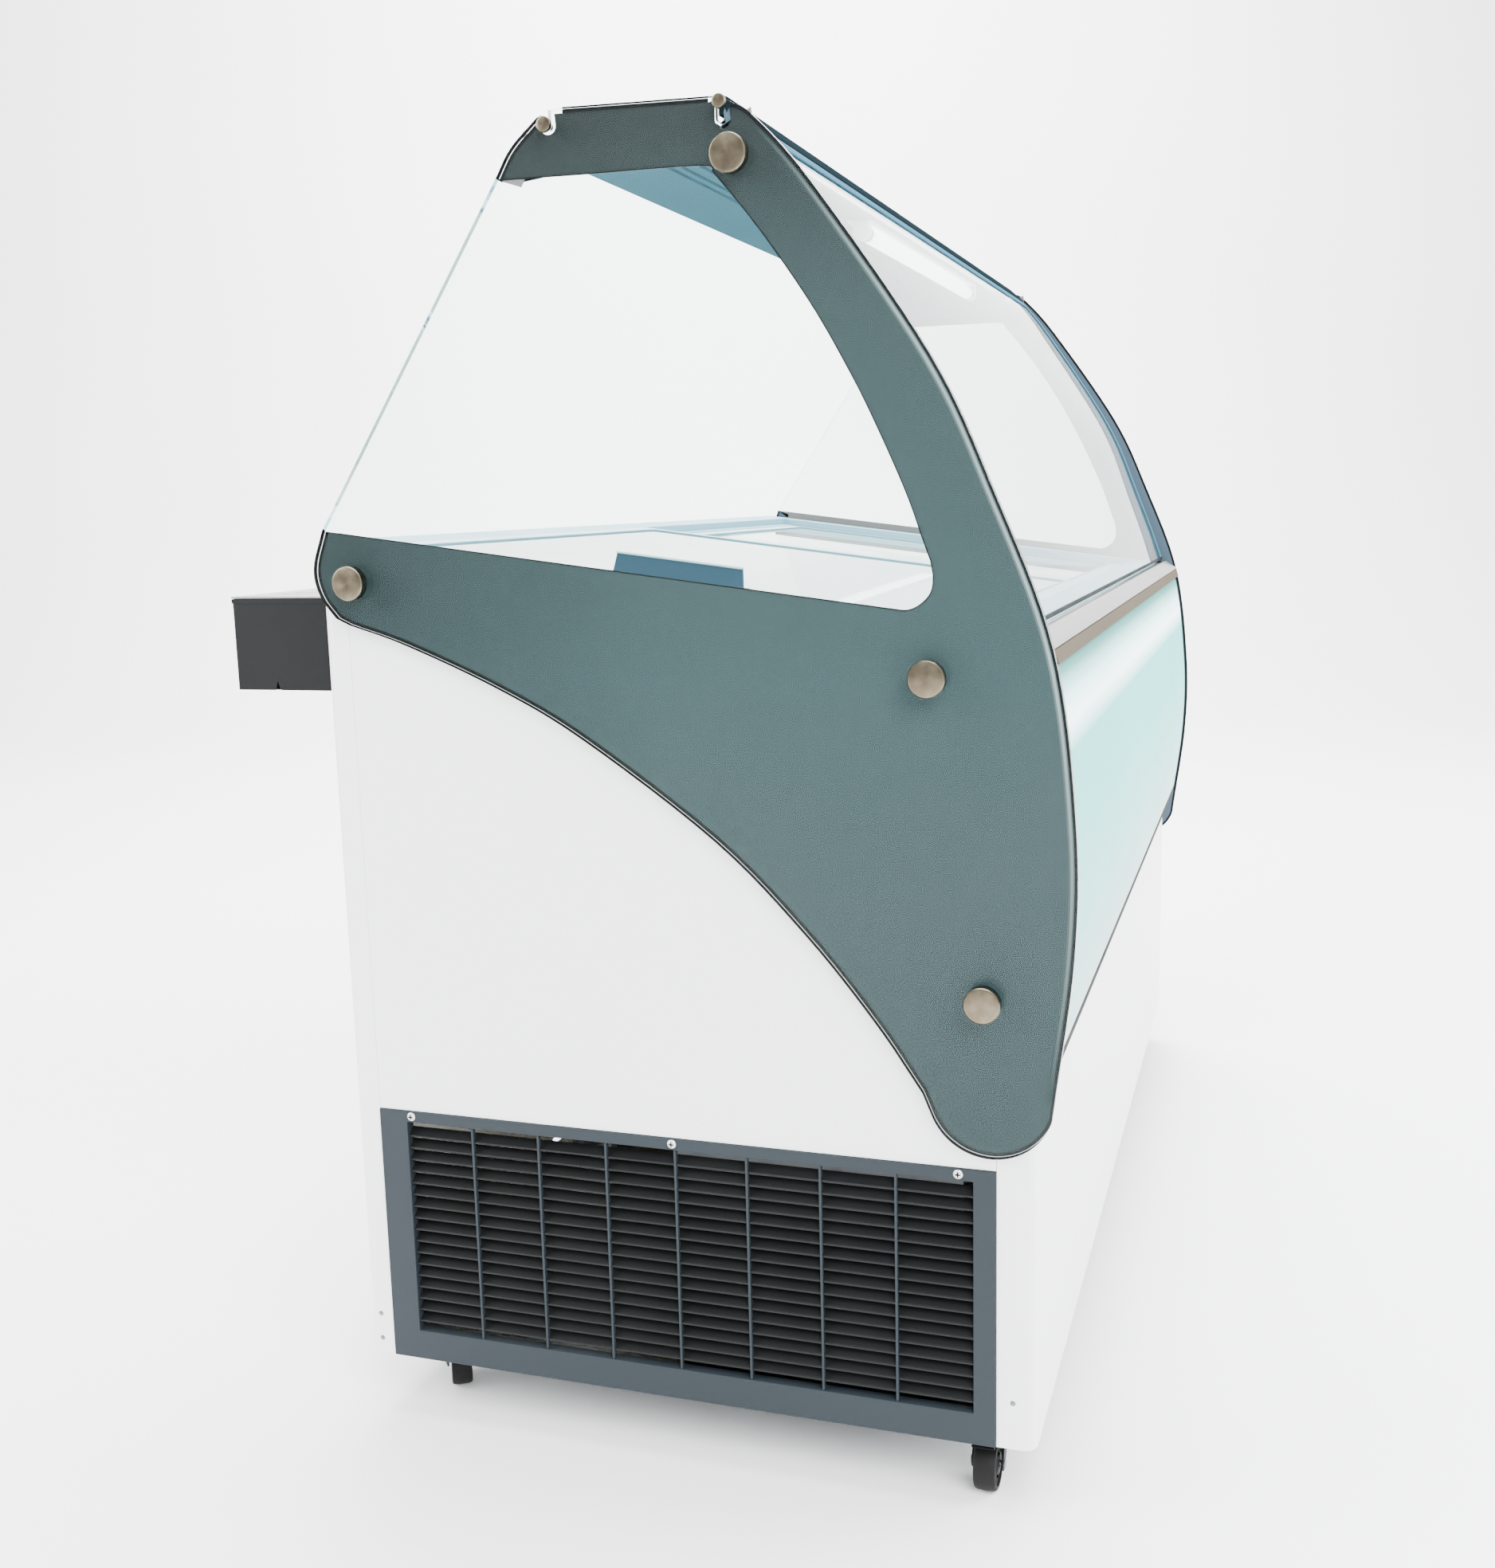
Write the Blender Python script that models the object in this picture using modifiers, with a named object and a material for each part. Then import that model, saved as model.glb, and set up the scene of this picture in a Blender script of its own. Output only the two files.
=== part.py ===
"""Curved-glass ice cream display freezer with two sliding lids, on castors.

Metres, +Z up. The origin is on the floor under the middle of the cabinet. The customer's
side faces -Y, the server's side +Y, and the length runs along X. "left" is the -X end.
"""
import math

import bmesh
import bpy
from mathutils import Matrix, Vector

# ---- driving dimensions ---------------------------------------------------------------
GAP = 0.0003                 # clearance between touching pieces
HALF = 0.7025                # outer face of each side glass, from the middle
GLASS = 0.008                # side glass thickness
WALL_X = 0.6825              # outer face of each end wall
SHEET = 0.0012               # sheet steel
FRONT_Y = -0.369             # cabinet front face
BACK_Y = 0.294               # cabinet rear face
FRONT_SEAM = -0.334          # where the front skin's return meets the end wall
BACK_SEAM = 0.266            # where the rear skin's return meets the end wall
SKIN_CORNER = 0.012          # bend radius of the skins
FLOOR_Z = 0.065              # underside of the cabinet
GRILLE_TOP = 0.322           # top of the end grilles
DECK_Z = 0.335               # underside of the insulated body
WALL_FOAM = 0.060            # insulation thickness
TUB_FLOOR = 0.420            # inside floor of the tub

TILT = math.atan(0.136)      # the lids slope down towards the customer
RIM_Y = -0.033               # middle of the rim
RIM_Z = 0.824                # top of the rim there
RIM_HALF_X = 0.681
RIM_HALF_V = 0.322
RIM_DEEP = 0.0235
STEP = 0.0095                # level difference between the two lid tracks
TRACK_HALF_X = 0.645
UPPER_HALF_V = 0.2855
LOWER_HALF_V = 0.2705
MOUTH_HALF_X = 0.615
MOUTH_HALF_V = 0.255

LID_THICK = 0.008
LID_LONG = 0.665
LID_BORDER = 0.026
LID_GLASS = 0.004

STANDOFFS = {"top": (-0.124, 1.166), "rear": (0.246, 0.829),
             "front": (-0.2815, 0.748), "low": (-0.3265, 0.478)}
CAP_R = 0.0155
CAP_THICK = 0.0115
BARREL_R = 0.0080
NECK_R = 0.0050

HINGE = (-0.1154, 1.2070)    # pin of the front glass, y and z
CANOPY_BOLT = (0.0374, 1.2030)
CANOPY_UNDER = 1.1730        # underside of the beam across the top
PIN_R = 0.0030
PIN_HEAD_R = 0.0058
SLOT_HALF = 0.0034

SILL_NOSE = (-0.3812, 0.7728)   # front edge of the sill, y and z
FRONT_FOOT = 0.7885          # lower edge of the front glass
FRONT_SHEET = 0.005          # front glass thickness
FRONT_INSET = (0.006, 0.018)    # front glass behind the side glasses' edge, top and foot
RAIL_WIDE = 0.022
BETWEEN = HALF - GLASS - 0.0016    # half the length of the pieces between the side glasses
PANEL_TOP = 0.7585           # top of the front skin and of the light box
PANEL_LOW = 0.4170           # underside of the light box

GRILLE_HOLE = (-0.314, 0.095, 0.236, 0.311)    # y and z of two corners
SLATS = 17
COLUMNS = 8

BIN_X = (-0.6625, -0.4025)
BIN_Y = 0.4037               # outer face of the scoop bin
BIN_Z = (0.7257, 0.8130)

FAN = (-0.530, -0.165, 0.190)
FAN_R = 0.092

CASTOR_X = 0.6245            # swivel axis
CASTOR_Y = {"front": -0.320, "rear": 0.226}
CASTOR_TURN = {"front": 0.0, "rear": 210.0}    # degrees from trailing outwards
WHEEL_R = 0.025
WHEEL_HALF = 0.0105
TRAIL = 0.018
AXLE_R = 0.003

COLOURS = {
    "white_steel": ((0.80, 0.81, 0.81), 0.35, 0.0),
    "zinc_steel": ((0.55, 0.56, 0.57), 0.45, 0.9),
    "foam": ((0.72, 0.66, 0.48), 0.9, 0.0),
    "tub_white": ((0.70, 0.72, 0.72), 0.4, 0.0),
    "rim_blue": ((0.36, 0.55, 0.62), 0.4, 0.0),
    "glass_teal": ((0.13, 0.19, 0.20), 0.15, 0.0),
    "clear_glass": ((0.72, 0.82, 0.82), 0.05, 0.0),
    "rail_blue": ((0.16, 0.25, 0.31), 0.35, 0.2),
    "canopy_blue": ((0.30, 0.44, 0.50), 0.35, 0.1),
    "stainless": ((0.52, 0.47, 0.40), 0.3, 1.0),
    "lamp_white": ((0.92, 0.95, 0.97), 0.3, 0.0),
    "aluminium": ((0.66, 0.68, 0.68), 0.35, 0.8),
    "tan_strip": ((0.44, 0.41, 0.36), 0.4, 0.2),
    "light_panel": ((0.62, 0.85, 0.84), 0.25, 0.0),
    "grille_slate": ((0.14, 0.16, 0.19), 0.5, 0.0),
    "charcoal": ((0.07, 0.075, 0.08), 0.45, 0.0),
    "black": ((0.02, 0.02, 0.02), 0.6, 0.0),
}

PARTS = None
CUTTERS = None


# ---- helpers --------------------------------------------------------------------------
def clear_scene():
    for item in list(bpy.data.objects):
        bpy.data.objects.remove(item, do_unlink=True)


def new_collection(name):
    collection = bpy.data.collections.new(name)
    bpy.context.scene.collection.children.link(collection)
    return collection


def material(name):
    found = bpy.data.materials.get(name)
    if found:
        return found
    colour, roughness, metallic = COLOURS[name]
    made = bpy.data.materials.new(name)
    made.use_nodes = True
    shader = made.node_tree.nodes["Principled BSDF"]
    shader.inputs["Base Color"].default_value = (*colour, 1.0)
    shader.inputs["Roughness"].default_value = roughness
    shader.inputs["Metallic"].default_value = metallic
    return made


def add_object(name, data, finish):
    made = bpy.data.objects.new(name, data)
    PARTS.objects.link(made)
    data.materials.append(material(finish))
    return made


def as_cutter(item):
    """Move a shape to the cutters' collection, where it is only a guide."""
    for collection in list(item.users_collection):
        collection.objects.unlink(item)
    CUTTERS.objects.link(item)
    item.hide_render = True
    item.display_type = "WIRE"
    return item


def to_mesh(item):
    """Turn a curve, or an object with modifiers, into a welded mesh object."""
    bpy.context.view_layer.update()
    graph = bpy.context.evaluated_depsgraph_get()
    data = bpy.data.meshes.new_from_object(item.evaluated_get(graph))
    bm = bmesh.new()
    bm.from_mesh(data)
    bmesh.ops.remove_doubles(bm, verts=bm.verts, dist=0.00001)
    bmesh.ops.recalc_face_normals(bm, faces=bm.faces)
    bm.to_mesh(data)
    bm.free()
    name = item.name
    finish = item.data.materials[0]
    place = item.matrix_world.copy()
    bpy.data.objects.remove(item, do_unlink=True)
    made = bpy.data.objects.new(name, data)
    PARTS.objects.link(made)
    made.matrix_world = place
    if not data.materials:
        data.materials.append(finish)
    return made


def box(name, low, high, finish, bevel=0.0):
    """A box between two corners, with its size in the mesh and its middle as origin."""
    low, high = Vector(low), Vector(high)
    bm = bmesh.new()
    bmesh.ops.create_cube(bm, size=1.0)
    bmesh.ops.scale(bm, vec=high - low, verts=bm.verts)
    data = bpy.data.meshes.new(name)
    bm.to_mesh(data)
    bm.free()
    made = add_object(name, data, finish)
    made.location = (low + high) / 2
    if bevel:
        edge = made.modifiers.new("edges", "BEVEL")
        edge.width = bevel
        edge.segments = 2
    return made


def rod(name, start, end, radius, finish, sides=20):
    """A round bar between two points."""
    start, end = Vector(start), Vector(end)
    bm = bmesh.new()
    bmesh.ops.create_cone(bm, cap_ends=True, segments=sides, radius1=radius, radius2=radius,
                          depth=(end - start).length)
    data = bpy.data.meshes.new(name)
    bm.to_mesh(data)
    bm.free()
    made = add_object(name, data, finish)
    made.rotation_mode = "QUATERNION"
    made.rotation_quaternion = (end - start).to_track_quat("Z", "Y")
    made.location = (start + end) / 2
    return made


def plate(name, outlines, thickness, finish, frame):
    """Flat outlines (the first is the outside, others are holes) made into a plate.

    The outline's plane and the middle of the thickness are set by the 4x4 frame.
    """
    data = bpy.data.curves.new(name, "CURVE")
    data.dimensions = "2D"
    data.fill_mode = "BOTH"
    data.extrude = thickness / 2
    for outline in outlines:
        spline = data.splines.new("POLY")
        spline.points.add(len(outline) - 1)
        for point, (across, up) in zip(spline.points, outline):
            point.co = (across, up, 0.0, 1.0)
        spline.use_cyclic_u = True
    made = add_object(name, data, finish)
    made.matrix_world = frame
    return to_mesh(made)


def frame_yz(x):
    """Outline points are (y, z); the thickness runs along X about x."""
    return Matrix(((0, 0, 1, x), (1, 0, 0, 0), (0, 1, 0, 0), (0, 0, 0, 1)))


def frame_xz(y):
    """Outline points are (x, z); the thickness runs along Y about y."""
    return Matrix(((1, 0, 0, 0), (0, 0, -1, y), (0, 1, 0, 0), (0, 0, 0, 1)))


def frame_xy(z):
    """Outline points are (x, y); the thickness runs along Z about z."""
    return Matrix.Translation((0, 0, z))


def along_x(name, outline, x_low, x_high, finish, holes=()):
    return plate(name, [outline, *holes], x_high - x_low, finish, frame_yz((x_low + x_high) / 2))


def turned(name, profile, place, direction, finish, steps=20, closed=False):
    """A turned piece: profile points are (radius, height), run from top to bottom."""
    bm = bmesh.new()
    verts = [bm.verts.new((radius, 0.0, height)) for radius, height in profile]
    for first, second in zip(verts, verts[1:]):
        bm.edges.new((first, second))
    if closed:
        bm.edges.new((verts[-1], verts[0]))
    data = bpy.data.meshes.new(name)
    bm.to_mesh(data)
    bm.free()
    made = add_object(name, data, finish)
    spin = made.modifiers.new("turn", "SCREW")
    spin.steps = steps
    spin.render_steps = steps
    spin.use_merge_vertices = True
    spin.merge_threshold = 0.00001
    spin.use_normal_calculate = False
    made.rotation_mode = "QUATERNION"
    made.rotation_quaternion = Vector(direction).to_track_quat("Z", "Y")
    made.location = place
    bpy.context.view_layer.update()
    return made


def boolean(target, tool, operation):
    change = target.modifiers.new(operation.lower(), "BOOLEAN")
    change.operation = operation
    change.solver = "EXACT"
    change.object = as_cutter(tool)


def join(name, pieces):
    """Unite overlapping pieces into one solid called name."""
    target = pieces[0]
    for tool in pieces[1:]:
        boolean(target, tool, "UNION")
    made = to_mesh(target)
    for tool in pieces[1:]:
        bpy.data.objects.remove(tool, do_unlink=True)
    made.name = name
    made.data.name = name
    return made


def cut(target, tools):
    """Take the tools away from the target and drop them."""
    name = target.name
    for tool in tools:
        boolean(target, tool, "DIFFERENCE")
    made = to_mesh(target)
    for tool in tools:
        bpy.data.objects.remove(tool, do_unlink=True)
    made.name = name
    made.data.name = name
    return made


def smooth(item, degrees=30):
    item.data.shade_smooth()
    item.data.set_sharp_from_angle(angle=math.radians(degrees))
    return item


def set_origin(item, point):
    """Move the object's origin to a world point and leave the shape where it is."""
    bpy.context.view_layer.update()
    shift = item.matrix_world.inverted() @ Vector(point)
    item.data.transform(Matrix.Translation(-shift))
    item.matrix_world = item.matrix_world @ Matrix.Translation(shift)
    return item


def curve_through(points, per_span):
    """Points on a smooth Catmull-Rom curve through the given ones, ends included."""
    knots = [Vector(point) for point in points]
    knots = [2 * knots[0] - knots[1], *knots, 2 * knots[-1] - knots[-2]]
    path = []
    for k in range(1, len(knots) - 2):
        before, start, end, after = knots[k - 1:k + 3]
        for step in range(per_span):
            t = step / per_span
            path.append(0.5 * (2 * start + (end - before) * t
                               + (2 * before - 5 * start + 4 * end - after) * t * t
                               + (3 * start - before - 3 * end + after) * t ** 3))
    path.append(knots[-2])
    return [tuple(point) for point in path]


def arc(centre, radius, start, end, steps):
    """Points on an arc, angles in degrees."""
    path = []
    for k in range(steps + 1):
        angle = math.radians(start + (end - start) * k / steps)
        path.append((centre[0] + radius * math.cos(angle), centre[1] + radius * math.sin(angle)))
    return path


def circle(centre, radius, sides):
    return arc(centre, radius, 0, 360 - 360 / sides, sides - 1)


def rectangle(x_low, y_low, x_high, y_high):
    return [(x_low, y_low), (x_high, y_low), (x_high, y_high), (x_low, y_high)]


# ---- the side profile of the glass ----------------------------------------------------
def front_edge():
    """The long convex front edge of a side glass, from its top corner down."""
    return curve_through([(-0.123, 1.207), (-0.142, 1.195), (-0.190, 1.140), (-0.284, 1.004),
                          (-0.334, 0.898), (-0.382, 0.771), (-0.4007, 0.633), (-0.4007, 0.520),
                          (-0.385, 0.392)], 4)


def side_outline():
    """Outline of a side glass, as (y, z), with open slots for the two top pins."""
    front = front_edge()
    toe = arc((-0.332, 0.395), 0.054, 198, 338, 10)
    under = curve_through([(-0.274, 0.394), (-0.234, 0.452), (-0.174, 0.525), (-0.094, 0.604),
                           (0.026, 0.690), (0.106, 0.734), (0.195, 0.772), (0.253, 0.791)], 3)
    heel = curve_through([(0.266, 0.797), (0.281, 0.817), (0.286, 0.842), (0.275, 0.8756)], 3)
    crown = curve_through([(0.085, 1.164), (0.070, 1.187), (0.045, 1.209)], 3)
    hinge_y, hinge_z = HINGE
    bolt_y, bolt_z = CANOPY_BOLT
    bolt_slot = [(bolt_y + SLOT_HALF, 1.211), *arc(CANOPY_BOLT, SLOT_HALF, 0, -180, 4),
                 (bolt_y - SLOT_HALF, 1.2145)]
    slot_end = (hinge_y, hinge_z - 0.0125)
    hinge_slot = [(hinge_y + SLOT_HALF, 1.2118), *arc(slot_end, SLOT_HALF, 0, -180, 4),
                  (hinge_y - SLOT_HALF, 1.2095)]
    top = [(0.024, 1.2156), (-0.1034, 1.212)]
    return [*crown, *bolt_slot, *top, *hinge_slot, *front, *toe, *under, *heel]


def inset(path, near, far):
    """Shift a path towards +Y and down, square to itself, by a distance that grows along it."""
    moved = []
    last = len(path) - 1
    for k, point in enumerate(path):
        back = Vector(path[max(k - 1, 0)])
        ahead = Vector(path[min(k + 1, last)])
        run = (ahead - back).normalized()
        side = Vector((-run.y, run.x))
        distance = near + (far - near) * k / last
        moved.append(tuple(Vector(point) + side * distance))
    return moved


def front_glass_path():
    """Outer surface of the front glass, from the top rail to the sill."""
    edge = [point for point in front_edge() if 0.80 < point[1] < 1.197]
    path = inset(edge, *FRONT_INSET)
    slant = (path[-1][0] - path[-2][0]) / (path[-1][1] - path[-2][1])
    path.append((path[-1][0] + slant * (FRONT_FOOT - path[-1][1]), FRONT_FOOT))
    return path


def strip(path, thickness):
    """Closed outline of a sheet whose outer surface follows the path."""
    return [*path, *reversed(inset(path, thickness, thickness))]


def slot_for(path, thickness, play):
    """Outline of the room that the sheet needs, run on past both of its ends."""
    faces = [inset(path, -play, -play), inset(path, thickness + play, thickness + play)]
    longer = []
    for face in faces:
        head = Vector(face[0]) + (Vector(face[0]) - Vector(face[1])).normalized() * 0.02
        tail = Vector(face[-1]) + (Vector(face[-1]) - Vector(face[-2])).normalized() * 0.02
        longer.append([tuple(head), *face, tuple(tail)])
    return [*longer[0], *reversed(longer[1])]


# ---- cabinet --------------------------------------------------------------------------
def u_skin(y_face, y_seam, thickness):
    """Plan outline of a skin that wraps round both ends of the cabinet."""
    toward = math.copysign(1.0, y_seam - y_face)
    outer = []
    inner = []
    for side in (-1, 1):
        start, end = (180, 270) if side < 0 else (270, 360)
        corner = (side * (WALL_X - SKIN_CORNER), y_face + toward * SKIN_CORNER)
        if toward < 0:
            start, end = -start, -end
        outer += arc(corner, SKIN_CORNER, start, end, 4)
        inner += arc(corner, SKIN_CORNER - thickness, start, end, 4)
    outer = [(-WALL_X, y_seam), *outer, (WALL_X, y_seam)]
    inner = [(-WALL_X + thickness, y_seam), *inner, (WALL_X - thickness, y_seam)]
    return [*outer, *reversed(inner)]


def rim_under(y):
    """Height of the rim's underside at a place across the cabinet."""
    return RIM_Z + (y - RIM_Y) * math.tan(TILT) - RIM_DEEP / math.cos(TILT)


def above_body():
    """A cutter that levels pieces off just under the sloping rim."""
    return slope_box("above", (-0.8, -0.5, -RIM_DEEP - GAP), (0.8, 0.5, 0.3), "foam")


def cabinet():
    plate("front_skin", [u_skin(FRONT_Y, FRONT_SEAM, SHEET)], PANEL_TOP - FLOOR_Z,
          "white_steel", frame_xy((FLOOR_Z + PANEL_TOP) / 2))
    rear_top = rim_under(BACK_Y) + 0.01
    rear = plate("rear_skin", [u_skin(BACK_Y, BACK_SEAM, SHEET)], rear_top - FLOOR_Z,
                 "white_steel", frame_xy((FLOOR_Z + rear_top) / 2))
    vents = [box("vent", (x, BACK_Y - 0.01, z), (x + 0.17, BACK_Y + 0.01, z + 0.008), "black")
             for x in (-0.25, -0.04, 0.17) for z in (0.11, 0.14, 0.17, 0.20, 0.23, 0.26)]
    cut(rear, [*vents, above_body()])
    low_y, high_y = FRONT_SEAM + GAP, BACK_SEAM - GAP
    low_z = GRILLE_TOP + GAP
    wall = [(low_y, low_z), (high_y, low_z), (high_y, rim_under(high_y) - GAP),
            (low_y, rim_under(low_y) - GAP)]
    for end, side in (("left", -1), ("right", 1)):
        faces = sorted((side * WALL_X, side * (WALL_X - SHEET)))
        along_x(f"end_panel_{end}", wall, *faces, "white_steel")


def rounded_plan(half_x, low_y, high_y, radius):
    corners = ((1, high_y, 0), (-1, high_y, 90), (-1, low_y, 180), (1, low_y, 270))
    outline = []
    for side, y, start in corners:
        toward = -1 if y == high_y else 1
        outline += arc((side * (half_x - radius), y + toward * radius), radius,
                       start, start + 90, 3)
    return outline


def insulated_body():
    clear = SHEET + GAP
    front, back = FRONT_Y + clear, BACK_Y - clear
    reach = WALL_X - clear
    top = rim_under(back) + 0.01
    plan = rounded_plan(reach, front, back, SKIN_CORNER - clear)
    foam = plate("foam_body", [plan], top - DECK_Z, "foam", frame_xy((top + DECK_Z) / 2))
    tub_x, tub_front, tub_back = reach - WALL_FOAM, front + WALL_FOAM, back - WALL_FOAM
    sheet = 0.0015
    floor = TUB_FLOOR - sheet - GAP
    hollow = box("hollow", (-tub_x, tub_front, floor), (tub_x, tub_back, 1.0), "foam")
    cut(foam, [above_body(), hollow])
    wall_x = tub_x - GAP
    low_y, high_y = tub_front + GAP, tub_back - GAP
    shell = along_x("inner_tub",
                    [(low_y, TUB_FLOOR - sheet), (high_y, TUB_FLOOR - sheet),
                     (high_y, rim_under(high_y) - GAP), (low_y, rim_under(low_y) - GAP)],
                    -wall_x, wall_x, "tub_white")
    space = box("space", (-wall_x + sheet, low_y + sheet, TUB_FLOOR),
                (wall_x - sheet, high_y - sheet, 1.0), "tub_white")
    cut(shell, [space])


def rim_place():
    """Frame of the rim: X along the cabinet, Y up the slope, Z square to the lids."""
    return Matrix.Translation((0, RIM_Y, RIM_Z)) @ Matrix.Rotation(TILT, 4, "X")


def sloped(item):
    item.matrix_world = rim_place() @ item.matrix_world
    return item


def slope_box(name, low, high, finish):
    made = box(name, low, high, finish)
    bpy.context.view_layer.update()
    return sloped(made)


def rim():
    block = slope_box("rim_frame", (-RIM_HALF_X, -RIM_HALF_V, -RIM_DEEP),
                      (RIM_HALF_X, RIM_HALF_V, 0.0), "rim_blue")
    over = 0.01
    lower_floor = -(LID_THICK + STEP + 0.0005)
    upper_floor = -(LID_THICK + 0.0005)
    upper = slope_box("upper", (-TRACK_HALF_X, -UPPER_HALF_V, upper_floor),
                      (TRACK_HALF_X, UPPER_HALF_V, over), "rim_blue")
    lower = slope_box("lower", (-TRACK_HALF_X, -LOWER_HALF_V, lower_floor),
                      (TRACK_HALF_X, LOWER_HALF_V, over), "rim_blue")
    mouth = slope_box("mouth", (-MOUTH_HALF_X, -MOUTH_HALF_V, -RIM_DEEP - over),
                      (MOUTH_HALF_X, MOUTH_HALF_V, over), "rim_blue")
    cut(block, [upper, lower, mouth])


def lid(name, x_low, half_v, top, handle):
    """A sliding lid: a moulded frame with its handle, and the glass set into it."""
    x_high = x_low + LID_LONG
    low = top - LID_THICK
    frame = slope_box(f"{name}_frame", (x_low, -half_v, low), (x_high, half_v, top), "rim_blue")
    light = LID_BORDER
    through = slope_box("through", (x_low + light, -half_v + light, low - 0.01),
                        (x_high - light, half_v - light, top + 0.01), "rim_blue")
    seat = slope_box("seat", (x_low + light - 0.008, -half_v + light - 0.008, top - 0.0055),
                     (x_high - light + 0.008, half_v - light + 0.008, top + 0.01), "rim_blue")
    frame = cut(frame, [through, seat])
    frame = join(f"{name}_frame", [frame, sloped(handle)])
    edge = 0.008 - GAP
    pane = slope_box(f"{name}_glass", (x_low + light - edge, -half_v + light - edge,
                                       top - 0.0055 + GAP),
                     (x_high - light + edge, half_v - light + edge,
                      top - 0.0055 + GAP + LID_GLASS), "clear_glass")
    for piece in (frame, pane):
        set_origin(piece, rim_place() @ Vector((x_low, 0.0, top)))


def lids():
    side_play = 0.0005
    grip_low, grip_high, grip_top = -0.0695, 0.0565, 0.021
    near_x = -TRACK_HALF_X + side_play
    grip = plate("grip", [[(grip_low, -0.004), (grip_high, -0.004), (grip_high - 0.003, grip_top),
                           (grip_low + 0.003, grip_top)]], 0.004, "rim_blue",
                 frame_yz(near_x + 0.016))
    lid("lid_left", near_x, UPPER_HALF_V - side_play, 0.0, grip)
    far_x = TRACK_HALF_X - side_play - LID_LONG
    level = -STEP
    tab_x = far_x + LID_LONG - 0.010
    tab = plate("tab", [[(-0.045, level - 0.004), (0.045, level - 0.004), (0.026, 0.007),
                         (-0.026, 0.007)]], 0.006, "rim_blue", frame_yz(tab_x))
    lid("lid_right", far_x, LOWER_HALF_V - side_play, level, tab)


# ---- glass and canopy -----------------------------------------------------------------
def side_glasses():
    outline = side_outline()
    holes = [circle(place, NECK_R + GAP, 12) for place in STANDOFFS.values()]
    inner = HALF - GLASS
    along_x("side_glass_left", outline, -HALF, -inner, "glass_teal", holes)
    along_x("side_glass_right", outline, inner, HALF, "glass_teal", holes)


def standoffs():
    """Cap outside the glass, neck through it and barrel behind it, down to the wall."""
    wall = WALL_X + GAP
    glass_in = HALF - GLASS - GAP
    cap_in = HALF + GAP
    cap_out = HALF + CAP_THICK
    round_edge = 0.0015
    for level, (y, z) in STANDOFFS.items():
        foot = wall if level != "top" else HALF - GLASS - 0.0105
        profile = [(0.0, cap_out), (CAP_R - round_edge, cap_out), (CAP_R, cap_out - round_edge),
                   (CAP_R, cap_in), (NECK_R, cap_in), (NECK_R, glass_in), (BARREL_R, glass_in),
                   (BARREL_R, foot), (0.0, foot)]
        for end, side in (("left", -1), ("right", 1)):
            smooth(turned(f"standoff_{end}_{level}", profile, (0.0, y, z), (side, 0, 0),
                          "stainless", steps=20))


def canopy():
    """The hollow beam across the top, grooved underneath, with the lamp below its front."""
    reach = HALF - GLASS - 0.0108
    under = CANOPY_UNDER
    grooves = []
    for y in (-0.047, -0.058, -0.074):
        grooves += [(y + 0.0022, under), (y + 0.0018, under + 0.003),
                    (y - 0.0018, under + 0.003), (y - 0.0022, under)]
    outer = [(0.026, under), *grooves, (-0.1340, under), (-0.1365, under + 0.0020),
             (-0.1360, under + 0.0050), (-0.1120, 1.1890), (-0.104, 1.1965), (0.016, 1.1965),
             (0.026, 1.188)]
    inner = [(-0.1270, under + 0.005), (0.022, under + 0.005), (0.022, 1.1865),
             (0.0145, 1.1925), (-0.1025, 1.1925), (-0.1100, 1.1850)]
    along_x("canopy_beam", outer, -reach, reach, "canopy_blue", [inner])
    lamp_half = 0.300
    body_y, body_top = -0.1215, under - GAP
    base = 0.0030
    body = along_x("lamp_fixture", [(body_y + 0.013, body_top), (body_y + 0.011, body_top - base),
                                    (body_y - 0.011, body_top - base),
                                    (body_y - 0.013, body_top)],
                   -lamp_half, lamp_half, "lamp_white")
    tube_y, drop = body_y - 0.0030, body_top - 0.0115
    ends = [box("socket", (side * lamp_half - 0.007 - 0.007 * side, tube_y - 0.009, drop - 0.009),
                (side * lamp_half + 0.007 - 0.007 * side, tube_y + 0.009, body_top - 0.001),
                "lamp_white") for side in (-1, 1)]
    join("lamp_fixture", [body, *ends])
    tube = rod("lamp_tube", (-lamp_half + 0.0145, tube_y, drop),
               (lamp_half - 0.0145, tube_y, drop), 0.0078, "lamp_white", 16)
    smooth(tube)
    y, z = CANOPY_BOLT
    head_out, head_in, tip = HALF + 0.0045, HALF + GAP, HALF - GLASS - 0.0105
    head_r = PIN_HEAD_R + 0.0007
    profile = [(0.0, head_out), (head_r - 0.0005, head_out), (head_r, head_out - 0.0005),
               (head_r, head_in), (PIN_R, head_in), (PIN_R, tip), (0.0, tip)]
    for end, side in (("left", -1), ("right", 1)):
        smooth(turned(f"canopy_bolt_{end}", profile, (0.0, y, z), (side, 0, 0), "stainless",
                      steps=16))


def front_glass():
    path = front_glass_path()
    glass_x = BETWEEN - 0.0035
    along_x("front_glass", strip(path, FRONT_SHEET), -glass_x, glass_x, "clear_glass")
    wrap = 0.0012
    for end, side in (("left", -1), ("right", 1)):
        outer = inset(path, -wrap, -wrap)
        lip = strip(outer, FRONT_SHEET + 2.5 * wrap)
        faces = sorted((side * BETWEEN, side * (BETWEEN - RAIL_WIDE)))
        rail = along_x(f"front_glass_rail_{end}", lip, *faces, "rail_blue")
        hollow = slot_for(path, FRONT_SHEET, GAP)
        span = sorted((side * (glass_x + GAP), side * (BETWEEN - RAIL_WIDE - 0.01)))
        tool = along_x("room", hollow, *span, "rail_blue")
        cut(rail, [tool])


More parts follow.
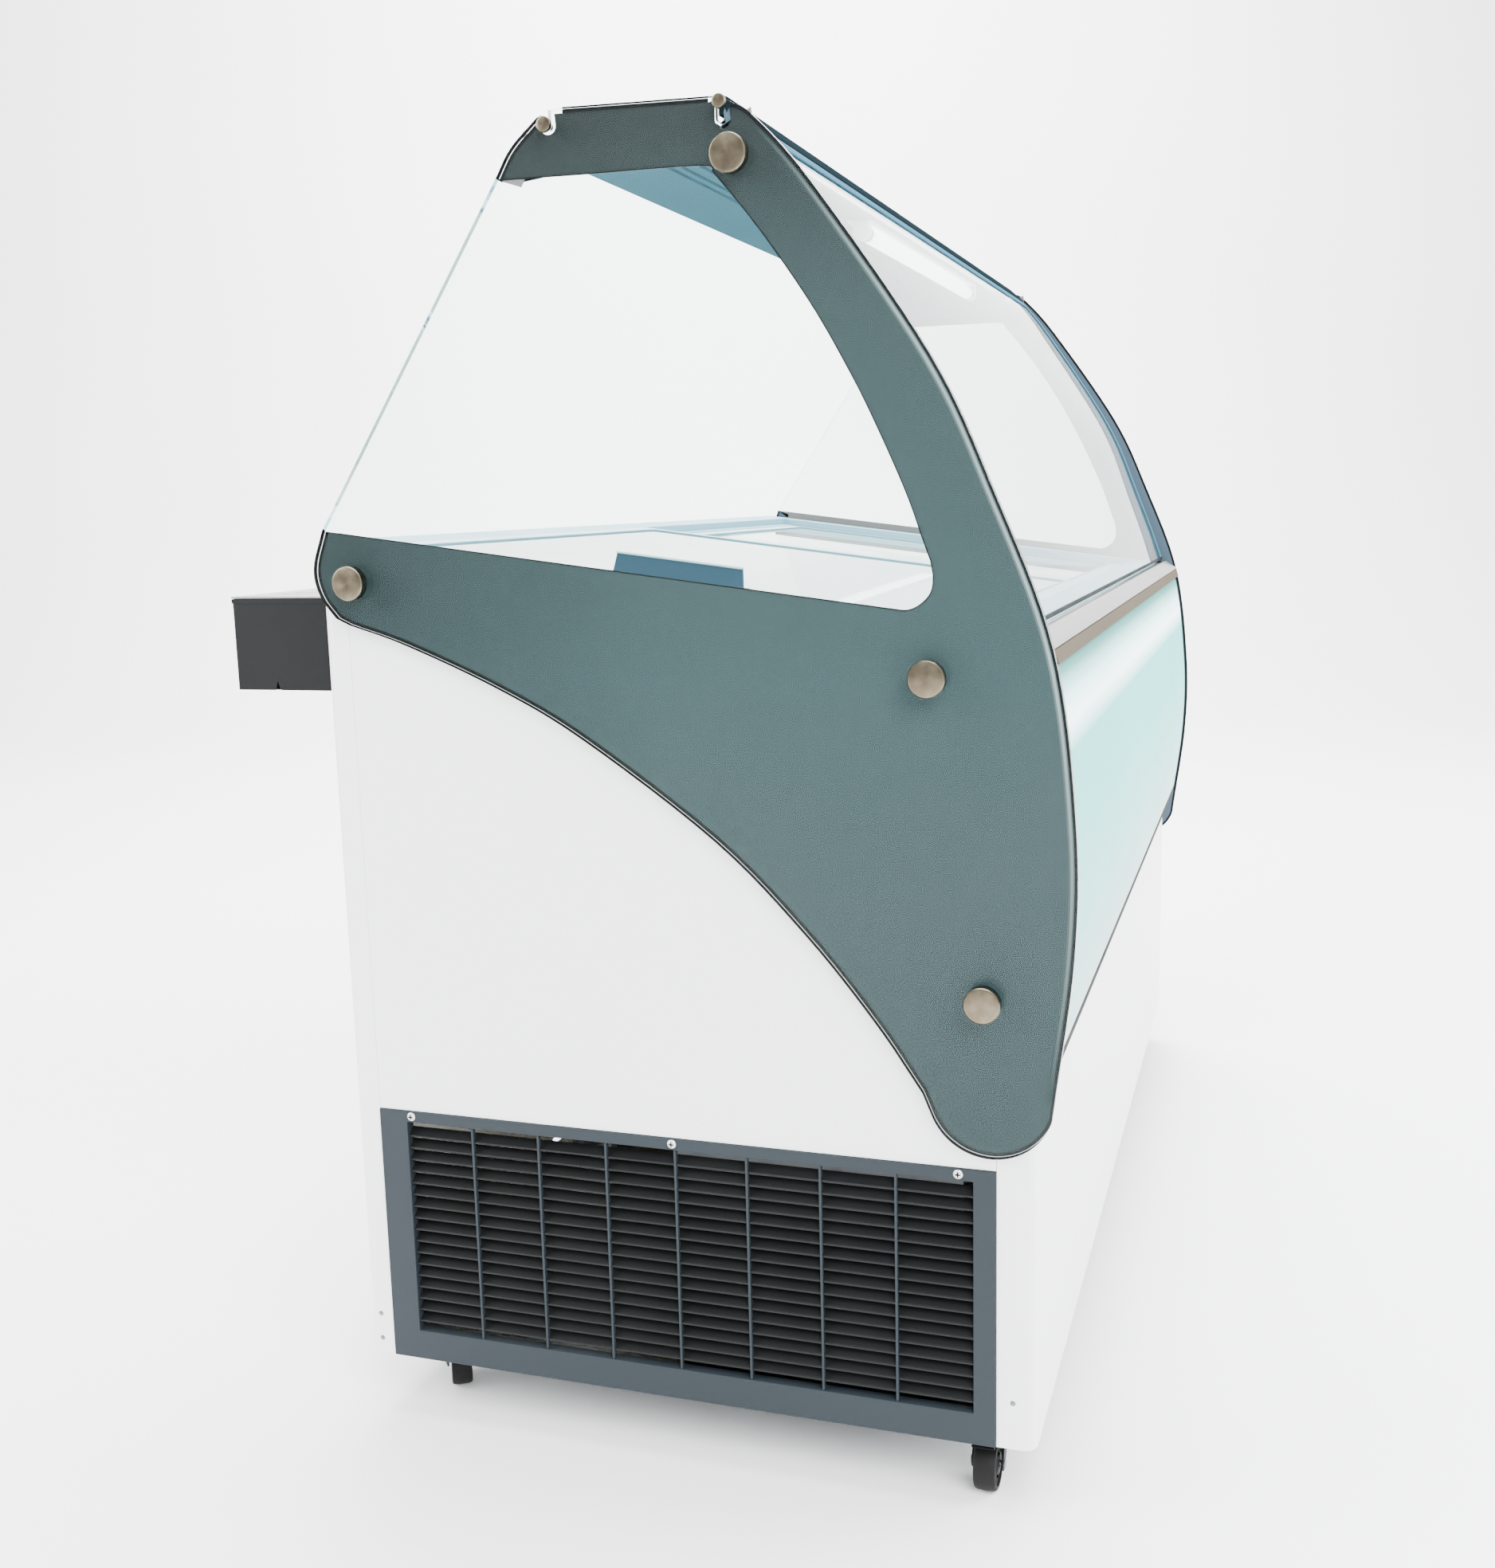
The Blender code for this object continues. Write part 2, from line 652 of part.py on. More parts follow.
def top_rail():
    """The rail along the top of the front glass, with its two hinge pins."""
    top_y, top_z = front_glass_path()[0]
    y, z = HINGE
    outline = [(y + 0.0050, z - 0.0040), *arc(HINGE, 0.0064, 0, 120, 4),
               (top_y - 0.0010, top_z + 0.0036), (top_y - 0.0014, top_z + 0.0016),
               (top_y + 0.0060, top_z + 0.0016), (y + 0.0010, z - 0.0080),
               (y + 0.0050, z - 0.0080)]
    along_x("front_glass_top_rail", outline, -BETWEEN, BETWEEN, "rail_blue")
    head_in, head_out = HALF + GAP, HALF + 0.0045
    profile = [(0.0, head_out), (PIN_HEAD_R - 0.0005, head_out), (PIN_HEAD_R, head_out - 0.0005),
               (PIN_HEAD_R, head_in), (PIN_R, head_in), (PIN_R, BETWEEN + GAP),
               (0.0, BETWEEN + GAP)]
    for end, side in (("left", -1), ("right", 1)):
        smooth(turned(f"hinge_pin_{end}", profile, (0.0, y, z), (side, 0, 0), "stainless",
                      steps=16))


def sill():
    """The aluminium sill that the front glass shuts on, and the strip under it."""
    back_y, crest_y = -0.3537, -0.3665
    sheet = 0.0028
    nose_y, nose_z = SILL_NOSE
    lip_z = 0.7710
    outer = [(back_y, 0.7808), (crest_y, 0.7838), (nose_y, nose_z), (nose_y, lip_z)]
    inner = [(nose_y + sheet, lip_z), (nose_y + sheet, nose_z - 0.0010),
             (crest_y + 0.0010, 0.7805), (back_y, 0.7778)]
    along_x("sill_profile", [*outer, *inner], -BETWEEN, BETWEEN, "aluminium")
    foot, strip_top = -0.3700, lip_z - 0.0008
    along_x("sill_strip", [(foot, strip_top), (nose_y - 0.0010, strip_top),
                           (nose_y - 0.0044, 0.7592), (nose_y - 0.0020, 0.7592),
                           (nose_y + 0.0010, 0.7680), (foot, 0.7680)],
            -BETWEEN, BETWEEN, "tan_strip")


def light_box():
    """The back-lit curved panel under the sill and the tray behind it."""
    top_z, low_z = PANEL_TOP, PANEL_LOW
    edge = [point for point in front_edge() if low_z - 0.01 < point[1] < top_z]
    path = inset(edge, 0.0045, 0.0045)
    path = [(path[0][0] + 0.0040, top_z), *path]
    path[-1] = (path[-1][0], low_z)
    sheet = 0.003
    along_x("light_box_panel", strip(path, sheet), -BETWEEN, BETWEEN, "light_panel")
    face = FRONT_Y - GAP
    thin = 0.0012
    lip = 0.010
    head_y = path[0][0] + sheet + 0.0012
    toe_y = path[-1][0] + sheet + 0.0012
    tray = [(head_y, top_z - 0.0005), (face, top_z - 0.0005), (face, low_z), (toe_y, low_z),
            (toe_y, low_z + lip), (toe_y + thin, low_z + lip), (toe_y + thin, low_z + thin),
            (face - thin, low_z + thin), (face - thin, top_z - 0.0005 - thin),
            (head_y, top_z - 0.0005 - thin)]
    along_x("light_box_tray", tray, -BETWEEN, BETWEEN, "zinc_steel")


def grille(end, side):
    """An end grille: a slate frame with tilted slats behind seven upright bars."""
    low_y, high_y = FRONT_SEAM + GAP, BACK_SEAM - GAP
    hole = GRILLE_HOLE
    outer = side * (WALL_X + 0.0020)
    deep = side * (WALL_X - 0.0100)
    outline = rectangle(low_y, FLOOR_Z, high_y, GRILLE_TOP)
    window = rectangle(*hole)
    frame = along_x(f"grille_{end}", outline, *sorted((outer, deep)), "grille_slate", [window])
    slats = []
    pitch = (hole[3] - hole[1]) / (SLATS + 1)
    bite = 0.003
    for k in range(SLATS):
        z = hole[1] + pitch * (k + 1)
        near, far = side * (WALL_X - 0.0012), side * (WALL_X - 0.0095)
        blade = plate("slat", [[(near, z - 0.0032), (near, z - 0.0020), (far, z + 0.0032),
                                (far, z + 0.0020)]], hole[2] - hole[0] + 2 * bite,
                      "grille_slate", frame_xz((hole[0] + hole[2]) / 2))
        slats.append(blade)
    bars = []
    for k in range(1, COLUMNS):
        y = hole[0] + (hole[2] - hole[0]) * k / COLUMNS
        faces = sorted((side * (WALL_X + 0.0015), side * (WALL_X - 0.0008)))
        bars.append(along_x("bar", rectangle(y - 0.0011, hole[1] - bite, y + 0.0011,
                                             hole[3] + bite), *faces, "grille_slate"))
    join(f"grille_{end}", [frame, *slats, *bars])


def scoop_bin():
    """The open bin on the rear wall for scoops, with its slotted lift-out plate."""
    low_x, high_x = BIN_X
    near_y, far_y = BACK_Y + GAP, BIN_Y
    low_z, top_z = BIN_Z
    thin = 0.0015
    shell = box("scoop_bin", (low_x, near_y, low_z), (high_x, far_y, top_z), "charcoal")
    inside = box("inside", (low_x + thin, near_y + thin, low_z + thin),
                 (high_x - thin, far_y - thin, top_z + 0.05), "charcoal")
    notches = [plate("notch", [[(0.3560, low_z - 0.002), (0.3640, low_z - 0.002),
                                (0.3600, low_z + 0.0085)]], 0.008, "charcoal", frame_yz(x))
               for x in (low_x, high_x)]
    cut(shell, [inside, *notches])
    over = 0.0010
    lid_low = top_z + GAP
    cover = box("scoop_bin_plate", (low_x - over, near_y, lid_low),
                (high_x + over, far_y + over, lid_low + 0.0016), "aluminium")
    middle = (low_x + high_x) / 2
    slots = [box("slot", (middle + k * 0.030 - 0.0035, near_y + 0.022, lid_low - 0.01),
                 (middle + k * 0.030 + 0.0035, far_y - 0.022, lid_low + 0.01), "aluminium")
             for k in range(-3, 4)]
    keeper = box("keeper", (low_x + thin + 0.001, near_y + thin + 0.001, lid_low - 0.008),
                 (high_x - thin - 0.001, near_y + thin + 0.003, lid_low + 0.0008), "aluminium")
    cut_plate = cut(cover, slots)
    join("scoop_bin_plate", [cut_plate, keeper])


# ---- controls -------------------------------------------------------------------------
def controls():
    """The panel on the rear wall: light switch, thermostat knob and the power inlet."""
    face = BACK_Y + GAP
    deep = 0.010
    low_x, high_x, low_z, high_z = 0.380, 0.560, 0.640, 0.710
    bezel = box("control_bezel", (low_x, face, low_z), (high_x, face + deep, high_z),
                "charcoal", 0.003)
    switch_x, knob_x, middle_z = 0.425, 0.510, 0.675
    well = box("well", (switch_x - 0.0110, face + 0.002, middle_z - 0.0150),
               (switch_x + 0.0110, face + deep + 0.01, middle_z + 0.0150), "charcoal")
    socket = rod("socket", (knob_x, face + 0.003, middle_z), (knob_x, face + 0.03, middle_z),
                 0.0065, "charcoal", 16)
    cut(bezel, [well, socket])
    pivot = (switch_x, face + 0.0078, middle_z)
    tilt = 0.0030
    rocker = plate("light_switch", [[(face + 0.0050, middle_z - 0.0100),
                                     (face + 0.0100 - tilt / 2, middle_z - 0.0125),
                                     (face + 0.0118, middle_z - 0.0125),
                                     (face + 0.0100, middle_z),
                                     (face + 0.0140, middle_z + 0.0125),
                                     (face + 0.0085, middle_z + 0.0125),
                                     (face + 0.0050, middle_z + 0.0100)]],
                   0.0210, "black", frame_yz(switch_x))
    set_origin(rocker, pivot)
    stem, skirt, top = face + 0.0040, face + deep + 0.0008, face + 0.0240
    profile = [(0.0, top), (0.0120, top), (0.0140, top - 0.0020), (0.0160, skirt),
               (0.0060, skirt), (0.0060, stem), (0.0, stem)]
    knob = turned("knob", profile, (knob_x, 0.0, middle_z), (0, 1, 0), "black", steps=24)
    knob = smooth(to_mesh(knob))
    pointer = box("pointer", (knob_x - 0.0012, top - 0.002, middle_z + 0.002),
                  (knob_x + 0.0012, top + 0.0012, middle_z + 0.0115), "black")
    knob = join("thermostat_knob", [knob, pointer])
    set_origin(knob, (knob_x, face + deep, middle_z))
    inlet_x, inlet_z = 0.52, 0.20
    inlet = box("power_inlet", (inlet_x - 0.025, face, inlet_z - 0.016),
                (inlet_x + 0.025, face + 0.008, inlet_z + 0.016), "black", 0.002)
    mouth = box("mouth", (inlet_x - 0.014, face + 0.0015, inlet_z - 0.0095),
                (inlet_x + 0.014, face + 0.02, inlet_z + 0.0095), "black")
    cut(inlet, [mouth])


# ---- refrigeration --------------------------------------------------------------------
def base_tray():
    low, thin, fold = FLOOR_Z, 0.0020, 0.030
    front, back = FRONT_Y + SHEET + GAP, BACK_Y - SHEET - GAP
    reach = WALL_X - 0.0110
    outline = [(front, low), (back, low), (back, low + fold), (back - thin, low + fold),
               (back - thin, low + thin), (front + thin, low + thin),
               (front + thin, low + fold), (front, low + fold)]
    along_x("base_tray", outline, -reach, reach, "zinc_steel")


def compressor():
    """The hermetic compressor: a domed shell on a foot plate."""
    place = (-0.360, 0.080, FLOOR_Z + 0.002 + GAP)
    dome = arc((0.0, 0.115), 0.080, 90, 0, 5)
    dome = [(radius, 0.115 + (height - 0.115) * 0.55) for radius, height in dome]
    dome[0] = (0.0, dome[0][1])
    heel = arc((0.0, 0.060), 0.080, 0, -60, 3)
    heel = [(radius, 0.060 + (height - 0.060) * 0.5) for radius, height in heel]
    shell = to_mesh(turned("shell", [*dome, *heel, (0.0, heel[-1][1])], place, (0, 0, 1),
                           "black", steps=24))
    x, y, z = place
    foot = box("foot", (x - 0.095, y - 0.055, z), (x + 0.095, y + 0.055, z + 0.004), "black")
    post = box("post", (x - 0.045, y - 0.040, z + 0.003), (x + 0.045, y + 0.040, z + 0.045),
               "black")
    terminal = box("terminal", (x + 0.060, y - 0.022, z + 0.060),
                   (x + 0.098, y + 0.022, z + 0.110), "black", 0.004)
    smooth(join("compressor", [shell, foot, post, terminal]), 40)


def condenser():
    """A finned block behind the front half of the left grille."""
    low_x, high_x = -0.655, -0.600
    low_y, high_y = -0.300, -0.030
    low_z, high_z = FLOOR_Z + 0.002 + GAP, 0.305
    fins = 22
    pitch = (high_y - low_y) / fins
    outline = [(low_x, low_y)]
    for k in range(fins):
        start = low_y + k * pitch
        outline += [(high_x, start), (high_x, start + 0.35 * pitch),
                    (low_x + 0.020, start + 0.35 * pitch), (low_x + 0.020, start + pitch)]
    outline += [(low_x + 0.020, high_y), (low_x, high_y)]
    clean = [point for point, after in zip(outline, outline[1:] + outline[:1]) if point != after]
    plate("condenser", [clean], high_z - low_z, "aluminium", frame_xy((low_z + high_z) / 2))


def fan():
    """The condenser fan: a shroud with the motor on three arms, and its blades."""
    x, y, z = FAN
    low_z = FLOOR_Z + 0.002 + GAP
    shroud = along_x("fan_bracket", rectangle(y - 0.115, low_z, y + 0.115, 0.305), x + 0.012,
                     x + 0.014, "zinc_steel", [circle((y, z), FAN_R + 0.006, 32)])
    motor = rod("motor", (x + 0.022, y, z), (x + 0.070, y, z), 0.030, "zinc_steel", 20)
    arms = []
    for k in range(3):
        arm = box("arm", (0.0105, -0.006, 0.0), (0.026, 0.006, FAN_R + 0.012), "zinc_steel")
        bpy.context.view_layer.update()
        arm.matrix_world = (Matrix.Translation(FAN) @ Matrix.Rotation(math.radians(120 * k), 4, "X")
                            @ arm.matrix_world)
        arms.append(arm)
    clear = rod("clear", (x, y, z), (x + 0.0200, y, z), FAN_R + 0.005, "zinc_steel", 32)
    trimmed = []
    for arm in arms:
        tool = clear.copy()
        PARTS.objects.link(tool)
        trimmed.append(cut(arm, [tool]))
    bpy.data.objects.remove(clear, do_unlink=True)
    join("fan_bracket", [shroud, motor, *trimmed])
    hub = rod("fan_blade", (x - 0.010, y, z), (x + 0.0190, y, z), 0.026, "black", 20)
    blades = []
    for k in range(5):
        blade = box("blade", (-0.0009, -0.026, 0.020), (0.0009, 0.026, FAN_R - 0.002), "black")
        bpy.context.view_layer.update()
        blade.matrix_world = (Matrix.Translation((x + 0.004, y, z))
                              @ Matrix.Rotation(math.radians(72 * k + 20), 4, "X")
                              @ Matrix.Rotation(math.radians(24), 4, "Z") @ blade.matrix_world)
        blades.append(blade)
    blade_set = join("fan_blade", [hub, *blades])
    set_origin(blade_set, FAN)


# ---- castors --------------------------------------------------------------------------
def castor(name, x, y, trail):
    """A twin-leg swivel castor: crown, fork with its axle, and the wheel."""
    crown_top = FLOOR_Z - GAP
    wheel_x = x + trail
    toward = math.copysign(1.0, trail)
    leg_in, leg_thick = WHEEL_HALF + 0.0020, 0.0022
    crown = rod("crown", (x, y, crown_top - 0.0030), (x, y, crown_top), 0.0200, "zinc_steel", 20)
    boss = rod("boss", (x, y, crown_top - 0.0085), (x, y, crown_top - 0.0025), 0.0135,
               "zinc_steel", 16)
    bridge_half = leg_in + leg_thick + 0.0005
    bridge = box("bridge", (x - 0.0120, y - bridge_half, crown_top - 0.0110),
                 (x + 0.0120, y + bridge_half, crown_top - 0.0080), "zinc_steel")
    legs = []
    for side in (-1, 1):
        outline = [(x - toward * 0.0112, crown_top - 0.0095),
                   (x + toward * 0.0112, crown_top - 0.0095),
                   (wheel_x + toward * 0.0065, WHEEL_R + 0.0020),
                   (wheel_x + toward * 0.0045, WHEEL_R - 0.0050),
                   (wheel_x - toward * 0.0045, WHEEL_R - 0.0050),
                   (x - toward * 0.0112, crown_top - 0.0150)]
        legs.append(plate("leg", [outline], leg_thick, "zinc_steel",
                          frame_xz(y + side * (leg_in + leg_thick / 2))))
    reach = leg_in + leg_thick + 0.0015
    axle = rod("axle", (wheel_x, y - reach, WHEEL_R), (wheel_x, y + reach, WHEEL_R), AXLE_R,
               "zinc_steel", 12)
    fork = join(f"{name}_fork", [crown, boss, bridge, *legs, axle])
    set_origin(fork, (x, y, crown_top))
    bore = AXLE_R + GAP
    half = WHEEL_HALF
    profile = [(bore, half), (0.0100, half), (0.0110, half - 0.0020), (0.0190, half - 0.0020),
               (0.0200, half), (WHEEL_R - 0.0020, half), (WHEEL_R, half - 0.0030),
               (WHEEL_R, -half + 0.0030), (WHEEL_R - 0.0020, -half), (0.0200, -half),
               (0.0190, -half + 0.0020), (0.0110, -half + 0.0020), (0.0100, -half),
               (bore, -half)]
    wheel = smooth(turned(f"{name}_wheel", profile, (wheel_x, y, WHEEL_R), (0, 1, 0), "black",
                          steps=24, closed=True), 40)
    return fork, wheel


def brake_lever(name, x, y, trail):
    """The foot pedal that presses on a front castor's tread."""
    toward = math.copysign(1.0, trail)
    pivot = (x + toward * 0.0180, y, FLOOR_Z - 0.0095)
    outline = [(pivot[0] - toward * 0.0030, pivot[2] - 0.0018),
               (pivot[0] - toward * 0.0030, pivot[2] + 0.0018),
               (pivot[0] + toward * 0.0270, pivot[2] + 0.0018),
               (pivot[0] + toward * 0.0300, pivot[2] - 0.0010),
               (pivot[0] + toward * 0.0270, pivot[2] - 0.0018)]
    lever = plate(name, [outline], 2 * WHEEL_HALF, "black", frame_xz(y))
    set_origin(lever, pivot)


def swivel(item, x, y, degrees):
    """Turn a piece of a castor about the upright axis at x, y."""
    bpy.context.view_layer.update()
    axis = Matrix.Translation((x, y, 0))
    turn = Matrix.Rotation(math.radians(degrees), 4, "Z")
    item.matrix_world = axis @ turn @ axis.inverted() @ item.matrix_world


def castors():
    for row, y in CASTOR_Y.items():
        for end, side in (("left", -1), ("right", 1)):
            pieces = castor(f"castor_{row}_{end}", side * CASTOR_X, y, side * TRAIL)
            for piece in pieces:
                swivel(piece, side * CASTOR_X, y, -side * CASTOR_TURN[row])
            if row == "front":
                brake_lever(f"castor_brake_{end}", side * CASTOR_X, y, side * TRAIL)


def main():
    global PARTS, CUTTERS
    clear_scene()
    PARTS = new_collection("ice_cream_display_freezer")
    CUTTERS = new_collection("cutters")
    cabinet()
    insulated_body()
    rim()
    lids()
    side_glasses()
    standoffs()
    canopy()
    front_glass()
    top_rail()
    sill()
    light_box()
    grille("left", -1)
    grille("right", 1)
    scoop_bin()
    controls()
    base_tray()
    compressor()
    condenser()
    fan()
    castors()


main()
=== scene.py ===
"""The looks of the ice cream display freezer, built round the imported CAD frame.

Metres, +Z up, the customer's side at -Y, and "left" is the -X end, nearest to the camera.
"""

import math

import bmesh
import bpy
from mathutils import Matrix, Vector


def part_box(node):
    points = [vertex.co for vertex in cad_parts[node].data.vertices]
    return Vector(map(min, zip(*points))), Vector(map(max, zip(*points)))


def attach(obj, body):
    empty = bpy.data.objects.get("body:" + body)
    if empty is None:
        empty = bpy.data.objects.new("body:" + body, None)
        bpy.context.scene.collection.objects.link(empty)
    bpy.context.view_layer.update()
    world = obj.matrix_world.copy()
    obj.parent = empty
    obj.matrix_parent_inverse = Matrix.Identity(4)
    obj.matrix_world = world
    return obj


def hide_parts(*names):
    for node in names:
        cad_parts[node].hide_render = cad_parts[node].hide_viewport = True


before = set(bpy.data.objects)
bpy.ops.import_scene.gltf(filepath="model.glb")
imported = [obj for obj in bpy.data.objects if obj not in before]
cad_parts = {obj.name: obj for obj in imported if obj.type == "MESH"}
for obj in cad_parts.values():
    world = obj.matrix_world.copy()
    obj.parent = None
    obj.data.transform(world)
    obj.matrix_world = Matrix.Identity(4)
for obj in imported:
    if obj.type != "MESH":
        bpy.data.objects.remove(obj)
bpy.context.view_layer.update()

# ---- dimensions shared with the CAD ---------------------------------------------------
GLASS_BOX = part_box("side_glass_left")
HALF = -GLASS_BOX[0].x
GLASS = GLASS_BOX[1].x - GLASS_BOX[0].x
WALL_X = -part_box("end_panel_left")[0].x
FRONT_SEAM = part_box("front_skin")[1].y
BACK_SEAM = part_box("rear_skin")[0].y
GRILLE_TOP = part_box("grille_left")[1].z
TILT = math.atan(0.136)
RIM_PLACE = Matrix.Translation((0, -0.033, 0.824)) @ Matrix.Rotation(TILT, 4, "X")
STANDOFFS = {"top": (-0.124, 1.166), "rear": (0.246, 0.829),
             "front": (-0.2815, 0.748), "low": (-0.3265, 0.478)}
HINGE = (-0.1154, 1.2070)         # pin of the front glass, y and z
CANOPY_BOLT = (0.0374, 1.2030)
SLOT_HALF = 0.0034                # half the width of the two pins' slots
CAP_R = 0.0155                    # stand-off cap, its barrel and its neck
CAP_THICK = 0.0115
BARREL_R = 0.0080
NECK_R = 0.0050
PIN_R = 0.0030
FRONT_FOOT = 0.7885               # lower edge of the front glass
FRONT_SHEET = 0.005
FRONT_INSET = (0.006, 0.018)      # front glass behind the side glass's edge, top and foot
PANEL_TOP = 0.7585                # lit panel, top and lower edge
PANEL_LOW = 0.4170
SILL_NOSE_Z = 0.7728
GRILLE_HOLE = (-0.314, 0.095, 0.236, 0.311)    # y and z of two corners
LID_BORDER = 0.026
KNOB = (0.510, 0.675)             # axis of the thermostat's knob, x and z
DIAL_R = 0.0205
LIGHT_CHIPS = 24                  # on each strip behind the lit panel
SLATS = 17
COLUMNS = 8
SIDES = (("left", -1), ("right", 1))
CASTOR_X = 0.6245                 # swivel axis
WHEEL_X = 0.6425                  # middle of the wheel
WHEEL_R = 0.025
LEG_IN = 0.0125                   # inner face of a fork leg from the wheel's middle
LEG_THICK = 0.0022
CASTOR_Y = {"front": -0.320, "rear": 0.226}
CASTOR_TURN = {"front": 0.0, "rear": 210.0}


# The print on the side glasses, in metres in from the edge of the glass and through it.
PRINT_MARGIN = 0.0034
COAT_MARGIN = 0.021               # the grey coat behind the ink
PRINT_DEEP = 0.0005               # middle of the ink from the inner face of the glass
LINE_DEEP = 0.00012
LINE_THICK = 0.00008
INK_THICK = 0.0006
COAT_THICK = 0.0003


# ---- materials ------------------------------------------------------------------------
class Tree:
    """A small writer for a material's node tree."""

    def __init__(self, name):
        self.material = bpy.data.materials.new(name)
        self.material.use_nodes = True
        self.nodes = self.material.node_tree.nodes
        self.links = self.material.node_tree.links
        self.shader = self.nodes["Principled BSDF"]
        self.output = self.nodes["Material Output"]
        self.place = self.nodes.new("ShaderNodeTexCoord").outputs["Object"]

    def link(self, source, target):
        self.links.new(source, target)

    def mapped(self, scale, turn=(0, 0, 0)):
        node = self.nodes.new("ShaderNodeMapping")
        node.inputs["Scale"].default_value = scale
        node.inputs["Rotation"].default_value = turn
        self.link(self.place, node.inputs["Vector"])
        return node.outputs["Vector"]

    def noise(self, scale, detail=3.0, rough=0.5, vector=None):
        node = self.nodes.new("ShaderNodeTexNoise")
        node.inputs["Scale"].default_value = scale
        node.inputs["Detail"].default_value = detail
        node.inputs["Roughness"].default_value = rough
        self.link(vector or self.place, node.inputs["Vector"])
        return node.outputs["Fac"]

    def ramp(self, source, stops):
        """stops are (position, colour or value)."""
        node = self.nodes.new("ShaderNodeValToRGB")
        ramp = node.color_ramp
        while len(ramp.elements) < len(stops):
            ramp.elements.new(0.5)
        for element, (position, value) in zip(ramp.elements, stops):
            element.position = position
            if isinstance(value, (int, float)):
                value = (value, value, value)
            element.color = (*value, 1.0)
        self.link(source, node.inputs["Fac"])
        return node.outputs["Color"]

    def span(self, source, low, high, from_low=0.0, from_high=1.0):
        node = self.nodes.new("ShaderNodeMapRange")
        node.inputs["From Min"].default_value = from_low
        node.inputs["From Max"].default_value = from_high
        node.inputs["To Min"].default_value = low
        node.inputs["To Max"].default_value = high
        self.link(source, node.inputs["Value"])
        return node.outputs["Result"]

    def axis(self, which):
        node = self.nodes.new("ShaderNodeSeparateXYZ")
        self.link(self.place, node.inputs["Vector"])
        return node.outputs[which]

    def mix(self, factor, first, second, blend="MIX"):
        node = self.nodes.new("ShaderNodeMix")
        node.data_type = "RGBA"
        node.blend_type = blend
        for value, socket in ((factor, node.inputs[0]), (first, node.inputs[6]),
                              (second, node.inputs[7])):
            if isinstance(value, bpy.types.NodeSocket):
                self.link(value, socket)
            elif isinstance(value, (int, float)):
                socket.default_value = value
            else:
                socket.default_value = (*value, 1.0)
        return node.outputs[2]

    def math(self, operation, first, second):
        node = self.nodes.new("ShaderNodeMath")
        node.operation = operation
        for value, socket in ((first, node.inputs[0]), (second, node.inputs[1])):
            if isinstance(value, bpy.types.NodeSocket):
                self.link(value, socket)
            else:
                socket.default_value = value
        return node.outputs[0]

    def bump(self, height, distance, strength=1.0):
        node = self.nodes.new("ShaderNodeBump")
        node.inputs["Distance"].default_value = distance
        node.inputs["Strength"].default_value = strength
        self.link(height, node.inputs["Height"])
        self.link(node.outputs["Normal"], self.shader.inputs["Normal"])

    def set(self, **values):
        for key, value in values.items():
            socket = self.shader.inputs[key.replace("_", " ")]
            if isinstance(value, bpy.types.NodeSocket):
                self.link(value, socket)
            elif isinstance(value, tuple) and len(value) == 3:
                socket.default_value = (*value, 1.0)
            else:
                socket.default_value = value
        return self


def srgb(red, green, blue):
    """Linear colour from 8-bit display values."""
    linear = []
    for value in (red, green, blue):
        share = value / 255
        linear.append(share / 12.92 if share <= 0.04045 else ((share + 0.055) / 1.055) ** 2.4)
    return tuple(linear)


def shade(colour, factor):
    return tuple(min(1.0, channel * factor) for channel in colour)


def painted(name, colour, rough=0.35, tone=0.05, grain=900.0, grain_deep=0.00004, metallic=0.0,
            patch=3.0, gloss=0.5):
    """Powder coat or moulded plastic: slight cloudiness, fine orange peel, uneven gloss."""
    tree = Tree(name)
    cloud = tree.noise(patch, 4.0, 0.6)
    colours = tree.ramp(cloud, [(0.3, shade(colour, 1 - tone)), (0.7, shade(colour, 1 + tone))])
    fine = tree.noise(grain, 2.0)
    tree.set(Base_Color=colours, Metallic=metallic, Specular_IOR_Level=gloss,
             Roughness=tree.span(tree.noise(patch * 4, 3.0), rough - 0.04, rough + 0.06, 0.3, 0.7))
    tree.bump(fine, grain_deep)
    return tree.material


def brushed(name, colour, rough=0.28, stretch=(4, 300, 300), tone=0.12, deep=0.00003):
    """Metal with a grain that runs along the axis with the small stretch."""
    tree = Tree(name)
    lines = tree.noise(1.0, 4.0, 0.7, tree.mapped(stretch))
    colours = tree.ramp(lines, [(0.3, shade(colour, 1 - tone)), (0.7, shade(colour, 1 + tone))])
    tree.set(Base_Color=colours, Metallic=1.0,
             Roughness=tree.span(lines, rough - 0.06, rough + 0.10, 0.3, 0.7))
    tree.bump(lines, deep)
    return tree.material


def pane_glass(name, tint, rough=0.0, index=1.3):
    """Clear glass that lets the lamps through; faint smears change its gloss."""
    tree = Tree(name)
    smear = tree.noise(6.0, 5.0, 0.65)
    colours = tree.ramp(tree.noise(2.0, 2.0), [(0.3, shade(tint, 0.985)), (0.7, tint)])
    tree.set(Base_Color=colours, Transmission_Weight=1.0, IOR=index,
             Roughness=tree.span(smear, rough, rough + 0.012, 0.35, 0.75))
    clear = tree.nodes.new("ShaderNodeBsdfTransparent")
    clear.inputs["Color"].default_value = (*tint, 1.0)
    light = tree.nodes.new("ShaderNodeLightPath")
    mixed = tree.nodes.new("ShaderNodeMixShader")
    seen = tree.math("MAXIMUM", light.outputs["Is Camera Ray"],
                     light.outputs["Is Transmission Ray"])
    tree.link(seen, mixed.inputs["Fac"])
    tree.link(clear.outputs["BSDF"], mixed.inputs[1])
    tree.link(tree.shader.outputs["BSDF"], mixed.inputs[2])
    tree.link(mixed.outputs["Shader"], tree.output.inputs["Surface"])
    return tree.material


